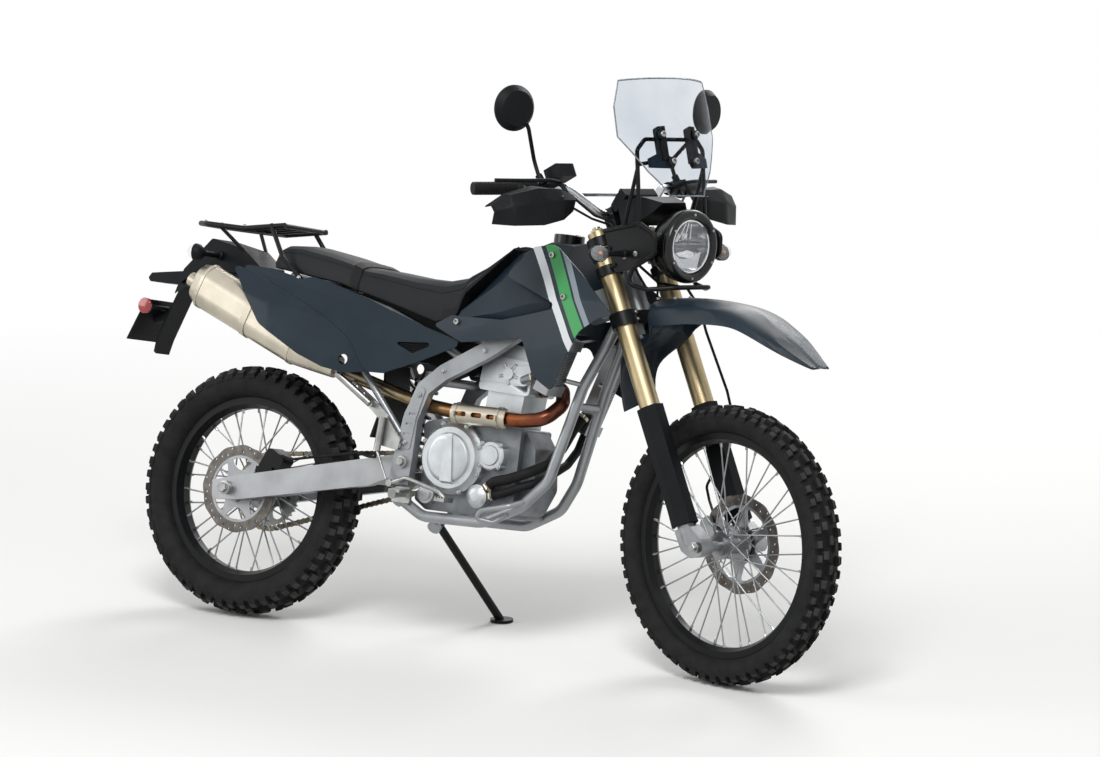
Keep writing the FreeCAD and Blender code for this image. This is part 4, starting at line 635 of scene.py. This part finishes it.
vinyl = finished("grained black vinyl", "seat_vinyl", ("#16181B", "#101214", 140),
                 (1.3, 0.09, (1, 1, 1), 1.0), (0.48, 0.6), Specular_IOR_Level=0.22)
seat_stations = [-670 + 7.06 * i for i in range(101)]
cushion = piece("seat_cushion", [loft([seat_ring(x) for x in seat_stations])], vinyl, "chassis", ["seat"], 28)


def beading(name, lines, radius, material, body):
    """Round cords of this radius in mm laid along lines of points."""
    data = bpy.data.curves.new(name, "CURVE")
    data.dimensions = "3D"
    data.bevel_depth = radius * MM
    data.bevel_resolution = 3
    data.use_fill_caps = True
    for line in lines:
        run = data.splines.new("POLY")
        run.points.add(len(line) - 1)
        for point, spot in zip(run.points, line):
            point.co = (*(AXES[body] @ (Vector(spot) * MM)), 1)
    fitted(name, data, material, body)


seams = [[seat_ring(x)[corner] for x in seat_stations[1:-1]] for corner in (-6, 6)]
beading("seat_seam", seams, 1.6, vinyl, "chassis")
piece("seat_strap", [loft([seat_ring(x, out)[2:-1] for x, out in STRAP])], rubber, "chassis")

# Coil spring of the rear shock, wound from steel wire and painted, round a damper tube
# with an alloy seat at each end.
SPRING_LEAN = radians(10.2)
SPRING_FOOT = Vector((-258, 0, 446))
SPRING_WAY = Vector((sin(SPRING_LEAN), 0, cos(SPRING_LEAN)))
COILS = 7
STEPS = 24
spring_side = SPRING_WAY.cross(Vector((0, 1, 0))).normalized()
coil = []
for i in range(COILS * STEPS + 1):
    turn = 2 * pi * i / STEPS
    coil.append(SPRING_FOOT + SPRING_WAY * (50 + 156 * i / (COILS * STEPS)) +
                (spring_side * cos(turn) + Vector((0, sin(turn), 0))) * 29)
painted_wire = finished("painted spring steel", "black_paint", ("#2A2C2E", "#1D1F20", 50),
                        (1.6, 0.02), (0.3, 0.4), Coat_Weight=0.4, Coat_Roughness=0.2)
beading("shock_spring", [coil], 5.2, painted_wire, "chassis")
damper = [(0, 0.1), (0, 21), (36, 21), (38, 35), (46, 36), (48, 24), (100, 21), (208, 20), (210, 36),
          (217, 36), (219, 20), (245, 18), (245, 0.1)]
piece("shock_damper", [lathe(damper, SPRING_FOOT, SPRING_WAY, 32)], machined_alloy, "chassis", ["rear_shock"])

# Headlamp: a black bowl with a notched bezel, a chromed reflector parted by a bar across
# its middle, and a thin clear lens in front, with a faint painted milky reflection.
LAMP_SPOT = Vector((222, 0, 1084))
LAMP_WAY = Vector((cos(RAKE), 0, -sin(RAKE)))
LAMP_UP = Vector((sin(RAKE), 0, cos(RAKE)))
BOWL = [(-91, 0.1), (-91, 40), (-84, 52), (-60, 75), (-36, 86), (-10, 91.5), (-4, 91.8), (-3, 90),
        (0, 90), (1, 91.5), (7, 90), (12, 86), (13.6, 80), (12, 74), (8, 69.5), (2, 68.5), (2, 66.5),
        (-40, 50), (-40, 0.1)]
DISH = [(1.5, 66), (1.5, 64.5), (-12, 60), (-26, 50), (-36, 34), (-39, 14), (-39, 0.1), (-41, 0.1),
        (-41, 15), (-38, 36), (-28, 52), (-14, 62), (1.5, 66)]
RIM = [(0.6, 67.4), (4.4, 67.2), (5.6, 64.6), (4.0, 62.2), (0.6, 62.6), (0.6, 67.4)]
DOME = [(4, 67), (7, 66.5), (11, 55), (14, 36), (15.6, 14), (15.8, 0.1), (14.0, 0.1), (12.4, 34),
        (9, 54), (5, 64)]


def in_lamp(forward, across, up):
    """Point in the lamp's own axes, from the middle of its front."""
    return LAMP_SPOT + LAMP_WAY * forward + LAMP_UP * up + Vector((0, across, 0))


lamp_shell = finished("gloss black ABS", "gloss_black", ("#0E0F11", "#0A0B0C", 90),
                      (1.6, 0.01), (0.16, 0.26), Specular_IOR_Level=0.35)
chrome = finished("vacuum-plated chrome", "steel", ("#E4E6E8", "#D3D6D9", 40),
                  (1.5, 0.01), (0.05, 0.12), Metallic=1.0)
# The lens is white at 5% opacity: a painted milky reflection over its clear face.
lamp_lens_painted_reflection = finished("clear moulded lens", "clear_glass", ("#F4F6F7", "#E3E7EA", 60),
                      (1.6, 0.01), (0.02, 0.06), Alpha=0.05)
reflector = [lathe(DISH, LAMP_SPOT, LAMP_WAY, 64)]
for y, lean in ((-24, 0.25), (0, 0.0), (24, -0.25)):
    rib = [in_lamp(f, y + lean * u + s, u)
           for f, u, s in ((-30, 10, -1.5), (-16, 56, -1.5), (-16, 56, 1.5), (-30, 10, 1.5))]
    reflector.append(loft([rib, [p + LAMP_WAY * 9 for p in rib]]))
wedge = []
for y, deep, low in ((-50, -12, -22), (-26, -8, -44), (0, -3, -54), (26, -8, -44), (50, -12, -22)):
    wedge.append([in_lamp(f, y, u)
                  for f, u in ((-30, -8), (deep - 6, -9), (deep, low * 0.55), (-24, low))])
reflector.append(loft(wedge))
cross_bar = []
for y, back in ((-62, -8), (-40, -16), (0, -16), (40, -16), (62, -8)):
    tall = 9 - abs(y) * 0.06
    cross_bar.append([in_lamp(f, y, s * tall) for f, s in ((back, 1), (-1, 0.6), (-1, -0.6), (back, -1))])
bezel_screws = [lathe([(0, 3.4), (2.2, 3.4), (2.8, 2.6), (2.8, 0.1)], in_lamp(12.4, y, up), LAMP_WAY, 12)
                for y, up in round_line(79, 6, start=0.5)]
piece("headlamp_bowl", [lathe(BOWL, LAMP_SPOT, LAMP_WAY, 72)], lamp_shell, "steering", ["headlamp"], 38)
piece("headlamp_reflector", reflector, chrome, "steering")
piece("headlamp_bar", [loft(cross_bar)], lamp_shell, "steering")
piece("headlamp_rim", [lathe(RIM, LAMP_SPOT, LAMP_WAY, 64)], chrome, "steering")
piece("headlamp_lens", [lathe(DOME, LAMP_SPOT, LAMP_WAY, 64)], lamp_lens_painted_reflection, "steering", ["lamp_lens"])
piece("bezel_screws", bezel_screws, plated_steel, "steering")

# Turn signals: black stalks and housings, and ribbed lenses, clear with a painted milky reflection,
# that fit over an amber bulb. The front housings are oval and the rear ones round.
SIGNAL_SHELL = [(-1.0, 0.02), (-0.98, 0.3), (-0.8, 0.66), (-0.45, 0.92), (0.0, 1.0), (0.06, 1.0),
                (0.06, 0.93), (-0.1, 0.9), (-0.1, 0.02)]
SIGNAL_LENS = [(0.05, 0.94), (0.3, 0.9), (0.6, 0.76), (0.85, 0.5), (0.97, 0.2), (1.0, 0.02)]
FRONT_STALK = [(0, 8), (10, 8.5), (12, 10.5), (18, 10.5), (20, 8), (60, 7), (84, 9), (90, 11)]
REAR_STALK = [(0, 9), (6, 12), (10, 12), (13, 8), (62, 7.5), (80, 9)]
BULB = [(-9, 0.1), (-9, 4), (-3, 4), (-1, 5), (3, 5.6), (7, 4.4), (9, 2), (9.6, 0.1)]


def bulbous(spot, way, reach, profile, wide):
    """Turned body, its profile in shares of its reach, stretched crosswise."""
    spots, faces = lathe(profile, (0, 0, 0), way, 32)
    return [Vector((p.x, p.y * wide, p.z)) * reach + spot for p in spots], faces


amber = finished("amber lamp glass", "clear_glass", ("#D98A45", "#C4702B", 12),
                 (1.2, 0.01), (0.12, 0.2), Coat_Weight=0.6, Coat_Roughness=0.05)
# The lenses are white at 16% opacity over clear, which paints a milky reflection on them.
signal_lens_painted_reflection = finished("clear ribbed lens", "clear_glass", ("#EDEFEF", "#D5D9DB", 30),
                        (3.2, 0.35, (0.05, 1, 0.05), 0.0), (0.04, 0.1), Alpha=0.16)
for side, hand in ((1, "left"), (-1, "right")):
    for end, body, spot, way, reach, wide, root, stalk, bulb_ahead in (
            ("front", "steering", (126, side * 222, 1107), (0.97, 0.12 * side, -0.2), 21.5, 1.36,
             (126, side * 120.4, 1106), FRONT_STALK, 2),
            ("rear", "chassis", (-886, side * 150, 924), (-1, 0.1 * side, 0), 23, 1.0,
             (-872, side * 56.5, 924), REAR_STALK, 0)):
        spot = Vector(spot)
        way = Vector(way).normalized()
        shell = [bulbous(spot, way, reach, SIGNAL_SHELL, wide), lathe(stalk, root, (0, side, 0), 24)]
        name = f"{hand}_{end}_signal"
        piece(name + "_body", shell, black_plastic, body, [end + "_signals"] if side > 0 else [])
        piece(name + "_lens", [bulbous(spot, way, reach, SIGNAL_LENS, wide)], signal_lens_painted_reflection, body)
        piece(name + "_bulb", [lathe(BULB, spot + way * bulb_ahead, way, 20)], amber, body)

# Windscreen of clear polycarbonate, cut and bent to shape with polished edges. Four cap
# screws on rubber washers hold it to dark tab plates on the lamp's cage.
SCREEN_BEND = 330.0
PLATE = [(48, 1362), (53, 1370), (68, 1370), (73, 1362), (70, 1312), (106, 1300), (106, 1278),
         (34, 1270), (27, 1278), (29, 1294), (47, 1304)]
SCREEN_HALF = [(0, 1200), (62, 1202), (66, 1214), (112, 1268), (172, 1365), (170, 1440),
               (151.6, 1499.6), (100, 1496.0), (50, 1493.6), (0, 1492.8)]


def on_screen(y, u, proud=0.0):
    """Point on the screen's front face, and the way it faces."""
    middle = -68 + 70 * (u - 1196) / 362
    forward = 1.018 * sqrt(SCREEN_BEND ** 2 - y ** 2)
    way = Vector((forward, y, -0.19 * forward)).normalized()
    return Vector((middle + forward, y, u)) + way * proud, way


def cap_screw(spot, way, radius):
    """Socket head screw with a chamfered rim."""
    tall = radius * 1.1
    return lathe([(-0.5, radius), (tall - 0.8, radius), (tall, radius - 0.8), (tall, radius * 0.58),
                  (tall * 0.45, radius * 0.54), (tall * 0.4, 0.1)], spot, way, 18)


clear_sheet = finished("clear polycarbonate sheet", "clear_glass", ("#E0E5EA", "#D0D7DE", 160),
                       (2.0, 0.01), (0.02, 0.07), Transmission_Weight=1.0, IOR=1.08)
polished_edge = finished("polished polycarbonate edge", "clear_glass", ("#7C868B", "#5F696E", 40),
                         (2.0, 0.01), (0.08, 0.16), Coat_Weight=0.5, Coat_Roughness=0.05)
dress(clear_sheet, "windscreen")
screws = []
washers = []
tabs = []
for side in (-1, 1):
    for y, u in ((60, 1354), (40, 1286)):
        spot, way = on_screen(side * y, u)
        washers.append(lathe([(0, 12), (2.2, 12), (3.0, 10.8), (3.0, 0.1)], spot, way, 28))
        screws.append(cap_screw(on_screen(side * y, u, 2.8)[0], way, 7.6))
    face = [on_screen(side * y, u, -4.2)[0] for y, u in PLATE]
    tabs.append(loft([face, [p + Vector((-2.5, 0, 0)) for p in face]]))
rim_line = []
for half in (SCREEN_HALF, [(-y, u) for y, u in SCREEN_HALF[-2::-1]]):
    for (y0, u0), (y1, u1) in zip(half, half[1:]):
        for i in range(6):
            rim_line.append(on_screen(y0 + (y1 - y0) * i / 6, u0 + (u1 - u0) * i / 6, -1.5)[0])
rim_line.append(rim_line[0])
piece("screen_washers", washers, rubber, "steering")
piece("screen_tabs", tabs, slate_plastic, "steering")
beading("screen_edge", [rim_line], 1.9, polished_edge, "steering")
piece("screen_screws", screws, plated_steel, "steering")

# Grips of black rubber, pushed over the bar's ends: a flange at the inner end, rings of
# ribs and a closed outer end.
def on_bar(y):
    """Point on the handlebar's outer run."""
    share = (abs(y) - 170) / 234
    return Vector((40 - 84 * share, y, 1318 + 34 * share))


for side, hand in ((1, "left"), (-1, "right")):
    start = on_bar(side * 288)
    way = (on_bar(side * 404) - start).normalized()
    profile = [(0, 11.4), (0, 23), (1, 24), (4, 24), (5.5, 22), (8, 17)]
    for i in range(16):
        at = 12 + 7 * i
        profile += [(at, 15.2), (at + 1.2, 16.5), (at + 4.6, 16.5), (at + 5.8, 15.2)]
    profile += [(125, 15.6), (127, 16.4), (128.5, 15), (128.5, 0.1)]
    replaced = ["grips"] if side > 0 else []
    piece(hand + "_grip", [lathe(profile, start, way, 40)], rubber, "steering", replaced, 25)

# Mirrors of silvered glass, clipped into the round black shells. They throw back a bright,
# slightly tinted picture of the room.
mirror_glass = finished("silvered glass", "clear_glass", ("#EEF1F3", "#E2E6E9", 60),
                        (2.0, 0.004), (0.02, 0.05), Metallic=1.0)
for side, hand in ((1, "left"), (-1, "right")):
    facing = Vector((0.87, 0.2 * side, -0.45)).normalized()
    spot = Vector((110, side * 346, 1501)) - facing * 6
    glass = lathe([(0.4, 54), (-0.6, 53.5), (-1.2, 50), (-1.2, 0.1)], spot, facing, 48)
    piece(hand + "_mirror_glass", [glass], mirror_glass, "steering")

# Lens of the tail lamp and the round side reflector, moulded in red acrylic. Small prisms
# inside break up what they reflect.
red_lens = finished("red moulded acrylic", "red_plastic", ("#A31218", "#7C0C11", 22),
                    (4.0, 0.15, (1, 1, 1), 0.0), (0.12, 0.2), Coat_Weight=0.7, Coat_Roughness=0.06)
lens_rings = []
for x, wide, low, high in ((-1098, 33, 843, 858), (-1106, 34, 842, 860), (-1111.5, 31, 843.5, 857),
                           (-1113, 24, 846, 855)):
    lens_rings.append([(x, -wide, low), (x, -wide + 5, high), (x, wide - 5, high), (x, wide, low)])
button = lathe([(-1, 20.6), (2.5, 20.6), (4, 19), (5, 12), (5.4, 0.1)], (-1062, -103.4, 772), (0, -1, 0), 40)
piece("tail_lens", [loft(lens_rings)], red_lens, "chassis", sharp=20)
piece("round_reflector", [button], red_lens, "chassis")

# Cores of the radiators: thin fins of brazed aluminium under a black coat, stacked between
# the tanks of each, which the eye reads as a fine comb.
RADIATOR_LEAN = radians(19)
FIN_STEP = 4.2
forward = Vector((cos(RADIATOR_LEAN), 0, -sin(RADIATOR_LEAN)))
up = Vector((sin(RADIATOR_LEAN), 0, cos(RADIATOR_LEAN)))
fins = []
for middle, core in (((228, 125, 688), 180), ((238, -125, 735), 94)):
    for i in range(round(core / FIN_STEP)):
        at = Vector(middle) + up * (-core / 2 + FIN_STEP * i + 2)
        ring = [at + forward * f + Vector((0, s, 0)) + up * (0.45 if f < 0 else -0.9)
                for f, s in ((-18.6, -29), (18.6, -29), (18.6, 29), (-18.6, 29))]
        fins.append(loft([ring, [p + up * 0.9 for p in ring]]))
fin_alloy = finished("black coated radiator fins", "aluminium", ("#3A3D40", "#26282A", 20),
                     (1.4, 0.03), (0.4, 0.55), Metallic=0.4)
piece("radiator_fins", fins, fin_alloy, "chassis")

# Air vents in the side covers: black moulded louvres behind the cut-out. They follow the
# cover's curve through stations (x, [(y, z), ...]) of the right-hand side.
FLANK = [(-790, [(-125, 935), (-152, 905), (-178, 850), (-186, 780), (-186, 600)]),
         (-600, [(-112, 905), (-150, 872), (-188, 815), (-200, 740), (-200, 600)]),
         (-420, [(-112, 872), (-140, 842), (-176, 785), (-192, 700), (-190, 600)]),
         (-240, [(-114, 830), (-136, 806), (-158, 745), (-170, 680), (-168, 600)]),
         (-30, [(-128, 785), (-136, 772), (-140, 750), (-142, 700), (-140, 600)])]


def on_panel(stations, x, z, side, proud=0.0):
    """Point on a panel's outer face at x and z, on the left (1) or right (-1)."""
    for (x0, row0), (x1, row1) in zip(stations, stations[1:]):
        if x <= x1:
            break
    share = (x - x0) / (x1 - x0)
    row = [(a[0] + share * (b[0] - a[0]), a[1] + share * (b[1] - a[1])) for a, b in zip(row0, row1)]
    y = between(sorted((zz, yy) for yy, zz in row), z)
    return Vector((x, -side * (y - proud), z))


vents = []
for side in (1, -1):
    for i in range(7):
        z = 728 + 4.6 * i
        reach = between([(725, -178), (749, -240), (760, -240)], z)
        front = between([(725, -178), (758, -112), (762, -112)], z)
        ring = [on_panel(FLANK, reach - 6, z, side, -5), on_panel(FLANK, front + 6, z, side, -5)]
        ring += [p + Vector((0, -side * 7, 5)) for p in reversed(ring)]
        vents.append(loft([ring, [p + Vector((0, 0, 1.6)) for p in ring]]))
piece("side_vents", vents, black_plastic, "chassis")

# Fuel cap moulded in gloss black plastic, with the hinge of its cover at the front, set
# in the tank's crown.
CAP = [(26, 0.1), (26, 14), (25, 16), (24.4, 30), (26.4, 32), (26.4, 37), (25, 39), (0, 39.5), (0, 0.1)]
hinge = loft([[(172, -9, 1066), (186, -9, 1064), (186, 9, 1064), (172, 9, 1066)],
              [(172, -9, 1069), (184, -9, 1068), (184, 9, 1068), (172, 9, 1069)]])
piece("fuel_cap", [lathe(CAP, (150, 0, 1040.6), (0, 0, 1), 48), hinge], lamp_shell, "chassis")

# Muffler trim: rolled bands at both seams of the can and a strap between them, of brushed
# stainless steel, and a matt black disc in the outlet, painted shade in place of its open bore.
MUFFLER_TILT = radians(21.5)
BAND = ((0, 0.2), (1, 1.6), (10, 1.6), (11, 0.2))
MIDDLE_STRAP = ((0, 0.2), (1, 2.4), (20, 2.4), (21, 0.2))


def on_muffler(x, y, z):
    """Point of the tilted muffler from its own length, width and height."""
    x = -x - 34
    return Vector((-812 + x * cos(MUFFLER_TILT) + z * sin(MUFFLER_TILT), -138 + y,
                   826 - x * sin(MUFFLER_TILT) + z * cos(MUFFLER_TILT)))


def oval_ring(x, wide, tall):
    """Section of the muffler's flattened round at x."""
    ring = []
    for across, high in round_line(wide, 48):
        ring.append(on_muffler(x, across, high + (tall - wide) * (1 if high > 0 else -1)))
    return ring


bands = []
for x, wide, tall, section in ((-334, 41.0, 58, BAND), (-8, 42, 60, BAND), (-180, 41.6, 59, MIDDLE_STRAP)):
    bands.append(loft([oval_ring(x + s, wide + out, tall + out) for s, out in section]))
piece("muffler_bands", bands, satin_steel, "chassis")
# A shallow disc of matt black tyre rubber closes the outlet: painted shade where the pipe's bore is dark.
outlet_shade = lathe([(0.2, 0.1), (0.2, 15.5), (1.4, 16.5), (1.4, 15), (0.6, 14.6), (0.6, 0.1)],
              on_muffler(56, 0, -6), on_muffler(60, 0, 0) - on_muffler(50, 0, 0), 32)
piece("muffler_outlet_shade", [outlet_shade], tyre_rubber, "chassis")

# Worm-drive clamps of stainless strip round the coolant hoses and the header's guard,
# each written as where it sits, the way of its tube and its radius.
CLAMPS = [((157, -98.8, 703.2), (31.4, -14, 11), 12.4), ((206, -115.6, 721), (32, -8, 12), 12.4),
          ((66, -107.4, 414.6), (21, -4, 20), 14.3), ((76, -104.4, 392.5), (43, -2, 12), 12.3),
          ((203, 80, 613), (13, 26.5, 40), 14.3), ((80, -112, 588), (1, 0, 0), 27.6),
          ((-44, -112, 588), (1, 0, 0), 27.6)]
RIGHT = Vector((0, -1, 0))
clamps = []
for spot, way, radius in CLAMPS:
    way = Vector(way).normalized()
    strip = [(-4.5, radius), (-4, radius + 0.9), (4, radius + 0.9), (4.5, radius), (-4.5, radius)]
    clamps.append(lathe(strip, spot, way, 40))
    out = (RIGHT - way * RIGHT.dot(way)).normalized()
    clamps.append(lathe([(-6, 3.4), (6, 3.4), (6.6, 2.6), (6.6, 4.2), (9.5, 4.2), (9.5, 0.1)],
                        Vector(spot) + out * (radius + 2.2), way.cross(out), 14))
piece("hose_clamps", clamps, satin_steel, "chassis")

# Fasteners of zinc-plated steel: socket screws in the trim and flanged bolts in the frame
# and engine. Those of the shrouds sit on stations written like the side covers', and each
# row of a table says where a fastener is and its radius.
WING = [(-160, [(-128, 860), (-134, 800), (-140, 760), (-140, 640)]),
        (60, [(-116, 1040), (-132, 940), (-154, 830), (-152, 640)]),
        (180, [(-112, 1050), (-162, 900), (-176, 760), (-168, 640)]),
        (300, [(-146, 1000), (-188, 900), (-206, 800), (-196, 640)]),
        (450, [(-190, 1000), (-210, 900), (-216, 860), (-212, 640)])]
UP = (0, 0, 1)


def hex_bolt(spot, way, radius):
    """Flanged six-sided bolt."""
    flange = [(-0.5, radius * 1.35), (1.0, radius * 1.35), (1.6, radius * 1.1), (1.6, 0.1)]
    head = [(1.2, radius), (radius * 0.95, radius), (radius * 1.05, radius * 0.86), (radius * 1.05, 0.1)]
    return [lathe(flange, spot, way, 22), lathe(head, spot, way, 6)]


chassis_bolts = []
for count, x, z, reach, y, size in ((8, -55, 474, 90, -109, 4.6), (4, 60, 492, 38, -110, 4.4),
                                    (7, 40, 450, 77, 92, 4.6), (4, 35, 386, 23, -112, 3.6)):
    for bolt_x, bolt_z in round_line(reach, count, (x, z), start=0.5):
        chassis_bolts += hex_bolt((bolt_x, y, bolt_z), (0, copysign(1, y), 0), size)
for side in (1, -1):
    out = (0, side, 0)
    for x, z, y, size in ((-184, 498, 134, 4.2), (-156, 622, 134, 4.2), (-185, 449, 137, 11),
                          (*REAR_HUB, 134, 13), (-156, 372, 134, 5), (-188, 372, 134, 5),
                          (110, 348, 88.4, 7), (-572, 886, 124, 4.5), (-246, 552, 138, 5.5),
                          (16, 752, 121, 6), (-96, 690, 127, 5.5), (285, 905, 66, 5)):
        chassis_bolts += hex_bolt((x, side * y, z), out, size)
    for x, z in ((184, 1008), (-64, 817), (262, 905)):
        chassis_bolts.append(cap_screw(on_panel(WING, x, z, side, 0.2), out, 7.4))
    chassis_bolts.append(cap_screw((-1099, side * 62, 762), (-0.914, 0, -0.407), 4))
    chassis_bolts.append(cap_screw((-946, side * 37.2, 1011), UP, 4))
    chassis_bolts += hex_bolt((-780, side * 96, 1007), UP, 4)
for x, y, z in ((4, 57, 764), (110, 57, 752), (4, -63, 764), (110, -63, 752)):
    chassis_bolts += hex_bolt((x, y, z), (0, copysign(1, y), 0), 4.4)
piece("chassis_bolts", chassis_bolts, plated_steel, "chassis")
rear_bolts = []
for x, z in round_line(44, 6, REAR_HUB, start=0.5):
    rear_bolts += hex_bolt((x, 83, z), (0, 1, 0), 5)
for x, z in round_line(32, 6, REAR_HUB, start=0.5):
    rear_bolts.append(cap_screw((x, -66.2, z), (0, -1, 0), 4.2))
piece("rear_wheel_bolts", rear_bolts, plated_steel, "rear_wheel")
front_bolts = [cap_screw((x, 46.2, z), (0, 1, 0), 4.2) for x, z in round_line(33, 6, FRONT_HUB, start=0.5)]
piece("front_wheel_bolts", front_bolts, plated_steel, "front_wheel")
steering_bolts = hex_bolt((0, 0, 1194), UP, 13)
hub_f, hub_u = FRONT_HUB
for side in (1, -1):
    out = (0, side, 0)
    for f, y, u, way, size in ((62.5, 84, 957, (1, 0, 0), 4.6), (62.5, 84, 975, (1, 0, 0), 4.6),
                               (62.5, 84, 1171, (1, 0, 0), 4.6), (35, 45, 1259, UP, 4.6),
                               (55, 45, 1259, UP, 4.6), (3, 98, hub_u + 14, (-1, 0, 0), 4.2),
                               (3, 98, hub_u + 36, (-1, 0, 0), 4.2), (97, 262, 1270, (0.85, 0, 0.5), 4.2)):
        steering_bolts.append(cap_screw((f, side * y, u), way, size))
    for f, y, u, size in ((112, 120, 1104, 5), (150, 120, 1096, 5), (hub_f, 126, hub_u, 10)):
        steering_bolts += hex_bolt((f, side * y, u), out, size)
    for f in (96, 150):
        fender_top = between([(92, 1000), (223, 950)], f)
        steering_bolts.append(cap_screw((f, side * 28, fender_top - 3.6), (0.36, 0, 0.93), 4.6))
    steering_bolts.append(lathe([(-0.5, 10), (6, 10), (7, 9), (7, 4), (4, 3.6), (4, 0.1)],
                                (30, side * 98, 1208), UP, 24))
piece("steering_bolts", steering_bolts, plated_steel, "steering")

# A pale studio floor under soft lamps, seen from where the photograph was taken. The
# camera sees white round the motorcycle, and the floor fades into it.
PHOTO_WIDTH = 1100
SENSOR = 36.0
FOCAL_PIXELS = 4780.8
CAMERA_SPOT = Vector((6.429, -10.200, 2.738))
YAW = radians(31.757)
FALL = radians(9.771)
ROLL = radians(0.551)
FLOOR_HALF = 40.0
LAMPS_AIM = Vector((0, 0, 0.7))
WHITE = linear("#FFFFFF")


def seen(tree):
    """1 for a ray from the camera, straight or off gloss or through clear plastic, else 0."""
    rays = add(tree, "ShaderNodeLightPath").outputs
    shown = add(tree, "ShaderNodeMath", {0: rays["Is Camera Ray"], 1: rays["Is Glossy Ray"]},
                operation="MAXIMUM")
    return add(tree, "ShaderNodeMath", {0: shown.outputs[0], 1: rays["Is Transmission Ray"]},
               operation="MAXIMUM").outputs[0]


def softbox(name, spot, size, power):
    """A square soft lamp that looks at the motorcycle."""
    lamp = bpy.data.lights.new(name, "AREA")
    lamp.energy = power
    lamp.size = size
    made = placed(name, lamp)
    made.location = Vector(spot)
    made.rotation_euler = (LAMPS_AIM - made.location).to_track_quat("-Z", "Y").to_euler()


camera = placed("camera", bpy.data.cameras.new("camera"))
camera.data.sensor_width = SENSOR
camera.data.lens = SENSOR * FOCAL_PIXELS / PHOTO_WIDTH
camera.data.clip_end = 100
ahead = Vector((-sin(YAW) * cos(FALL), cos(YAW) * cos(FALL), -sin(FALL)))
aside = ahead.cross(Vector((0, 0, 1))).normalized()
above = aside.cross(ahead)
right = aside * cos(ROLL) + above * sin(ROLL)
upward = above * cos(ROLL) - aside * sin(ROLL)
camera.matrix_world = axes(right, upward, -ahead, Vector((0, 0, 0)), CAMERA_SPOT)
bpy.context.scene.camera = camera
bpy.context.scene.view_settings.view_transform = "Standard"

floor_mesh = bpy.data.meshes.new("floor")
corners = [(x * FLOOR_HALF, y * FLOOR_HALF, 0) for x, y in ((-1, -1), (1, -1), (1, 1), (-1, 1))]
floor_mesh.from_pydata(corners, [], [(0, 1, 2, 3)])
floor = placed("floor", floor_mesh)
floor_paint, tree, shader = surface("matt studio floor", Roughness=0.9)
shader.inputs["Base Color"].default_value = linear("#E9E8E5")
spot = add(tree, "ShaderNodeTexCoord").outputs["Object"]
far = add(tree, "ShaderNodeVectorMath", {0: spot}, operation="LENGTH").outputs["Value"]
fade = add(tree, "ShaderNodeMapRange", {"Value": far, "From Min": 1.4, "From Max": 5.5},
           interpolation_type="SMOOTHSTEP")
shown = add(tree, "ShaderNodeMath", {0: seen(tree), 1: fade.outputs["Result"]}, operation="MULTIPLY")
glow = add(tree, "ShaderNodeEmission", {"Color": WHITE, "Strength": 1.0})
blend = add(tree, "ShaderNodeMixShader", {0: shown.outputs[0], 1: shader.outputs[0], 2: glow.outputs[0]})
tree.links.new(blend.outputs[0], tree.nodes["Material Output"].inputs["Surface"])
floor_mesh.materials.append(floor_paint)

world = bpy.data.worlds.new("studio")
bpy.context.scene.world = world
world.use_nodes = True
tree = world.node_tree
tree.nodes.clear()
room = add(tree, "ShaderNodeBackground", {"Color": linear("#F2F5F8"), "Strength": 0.5})
backdrop = add(tree, "ShaderNodeBackground", {"Color": WHITE, "Strength": 1.0})
mixed = add(tree, "ShaderNodeMixShader", {0: seen(tree), 1: room.outputs[0], 2: backdrop.outputs[0]})
add(tree, "ShaderNodeOutputWorld", {"Surface": mixed.outputs[0]})
softbox("key lamp", (2.0, -4.5, 6.0), 2.6, 330)
softbox("fill lamp", (-5.0, -4.0, 3.0), 3.0, 90)
softbox("rim lamp", (-1.0, 5.5, 4.5), 3.0, 200)
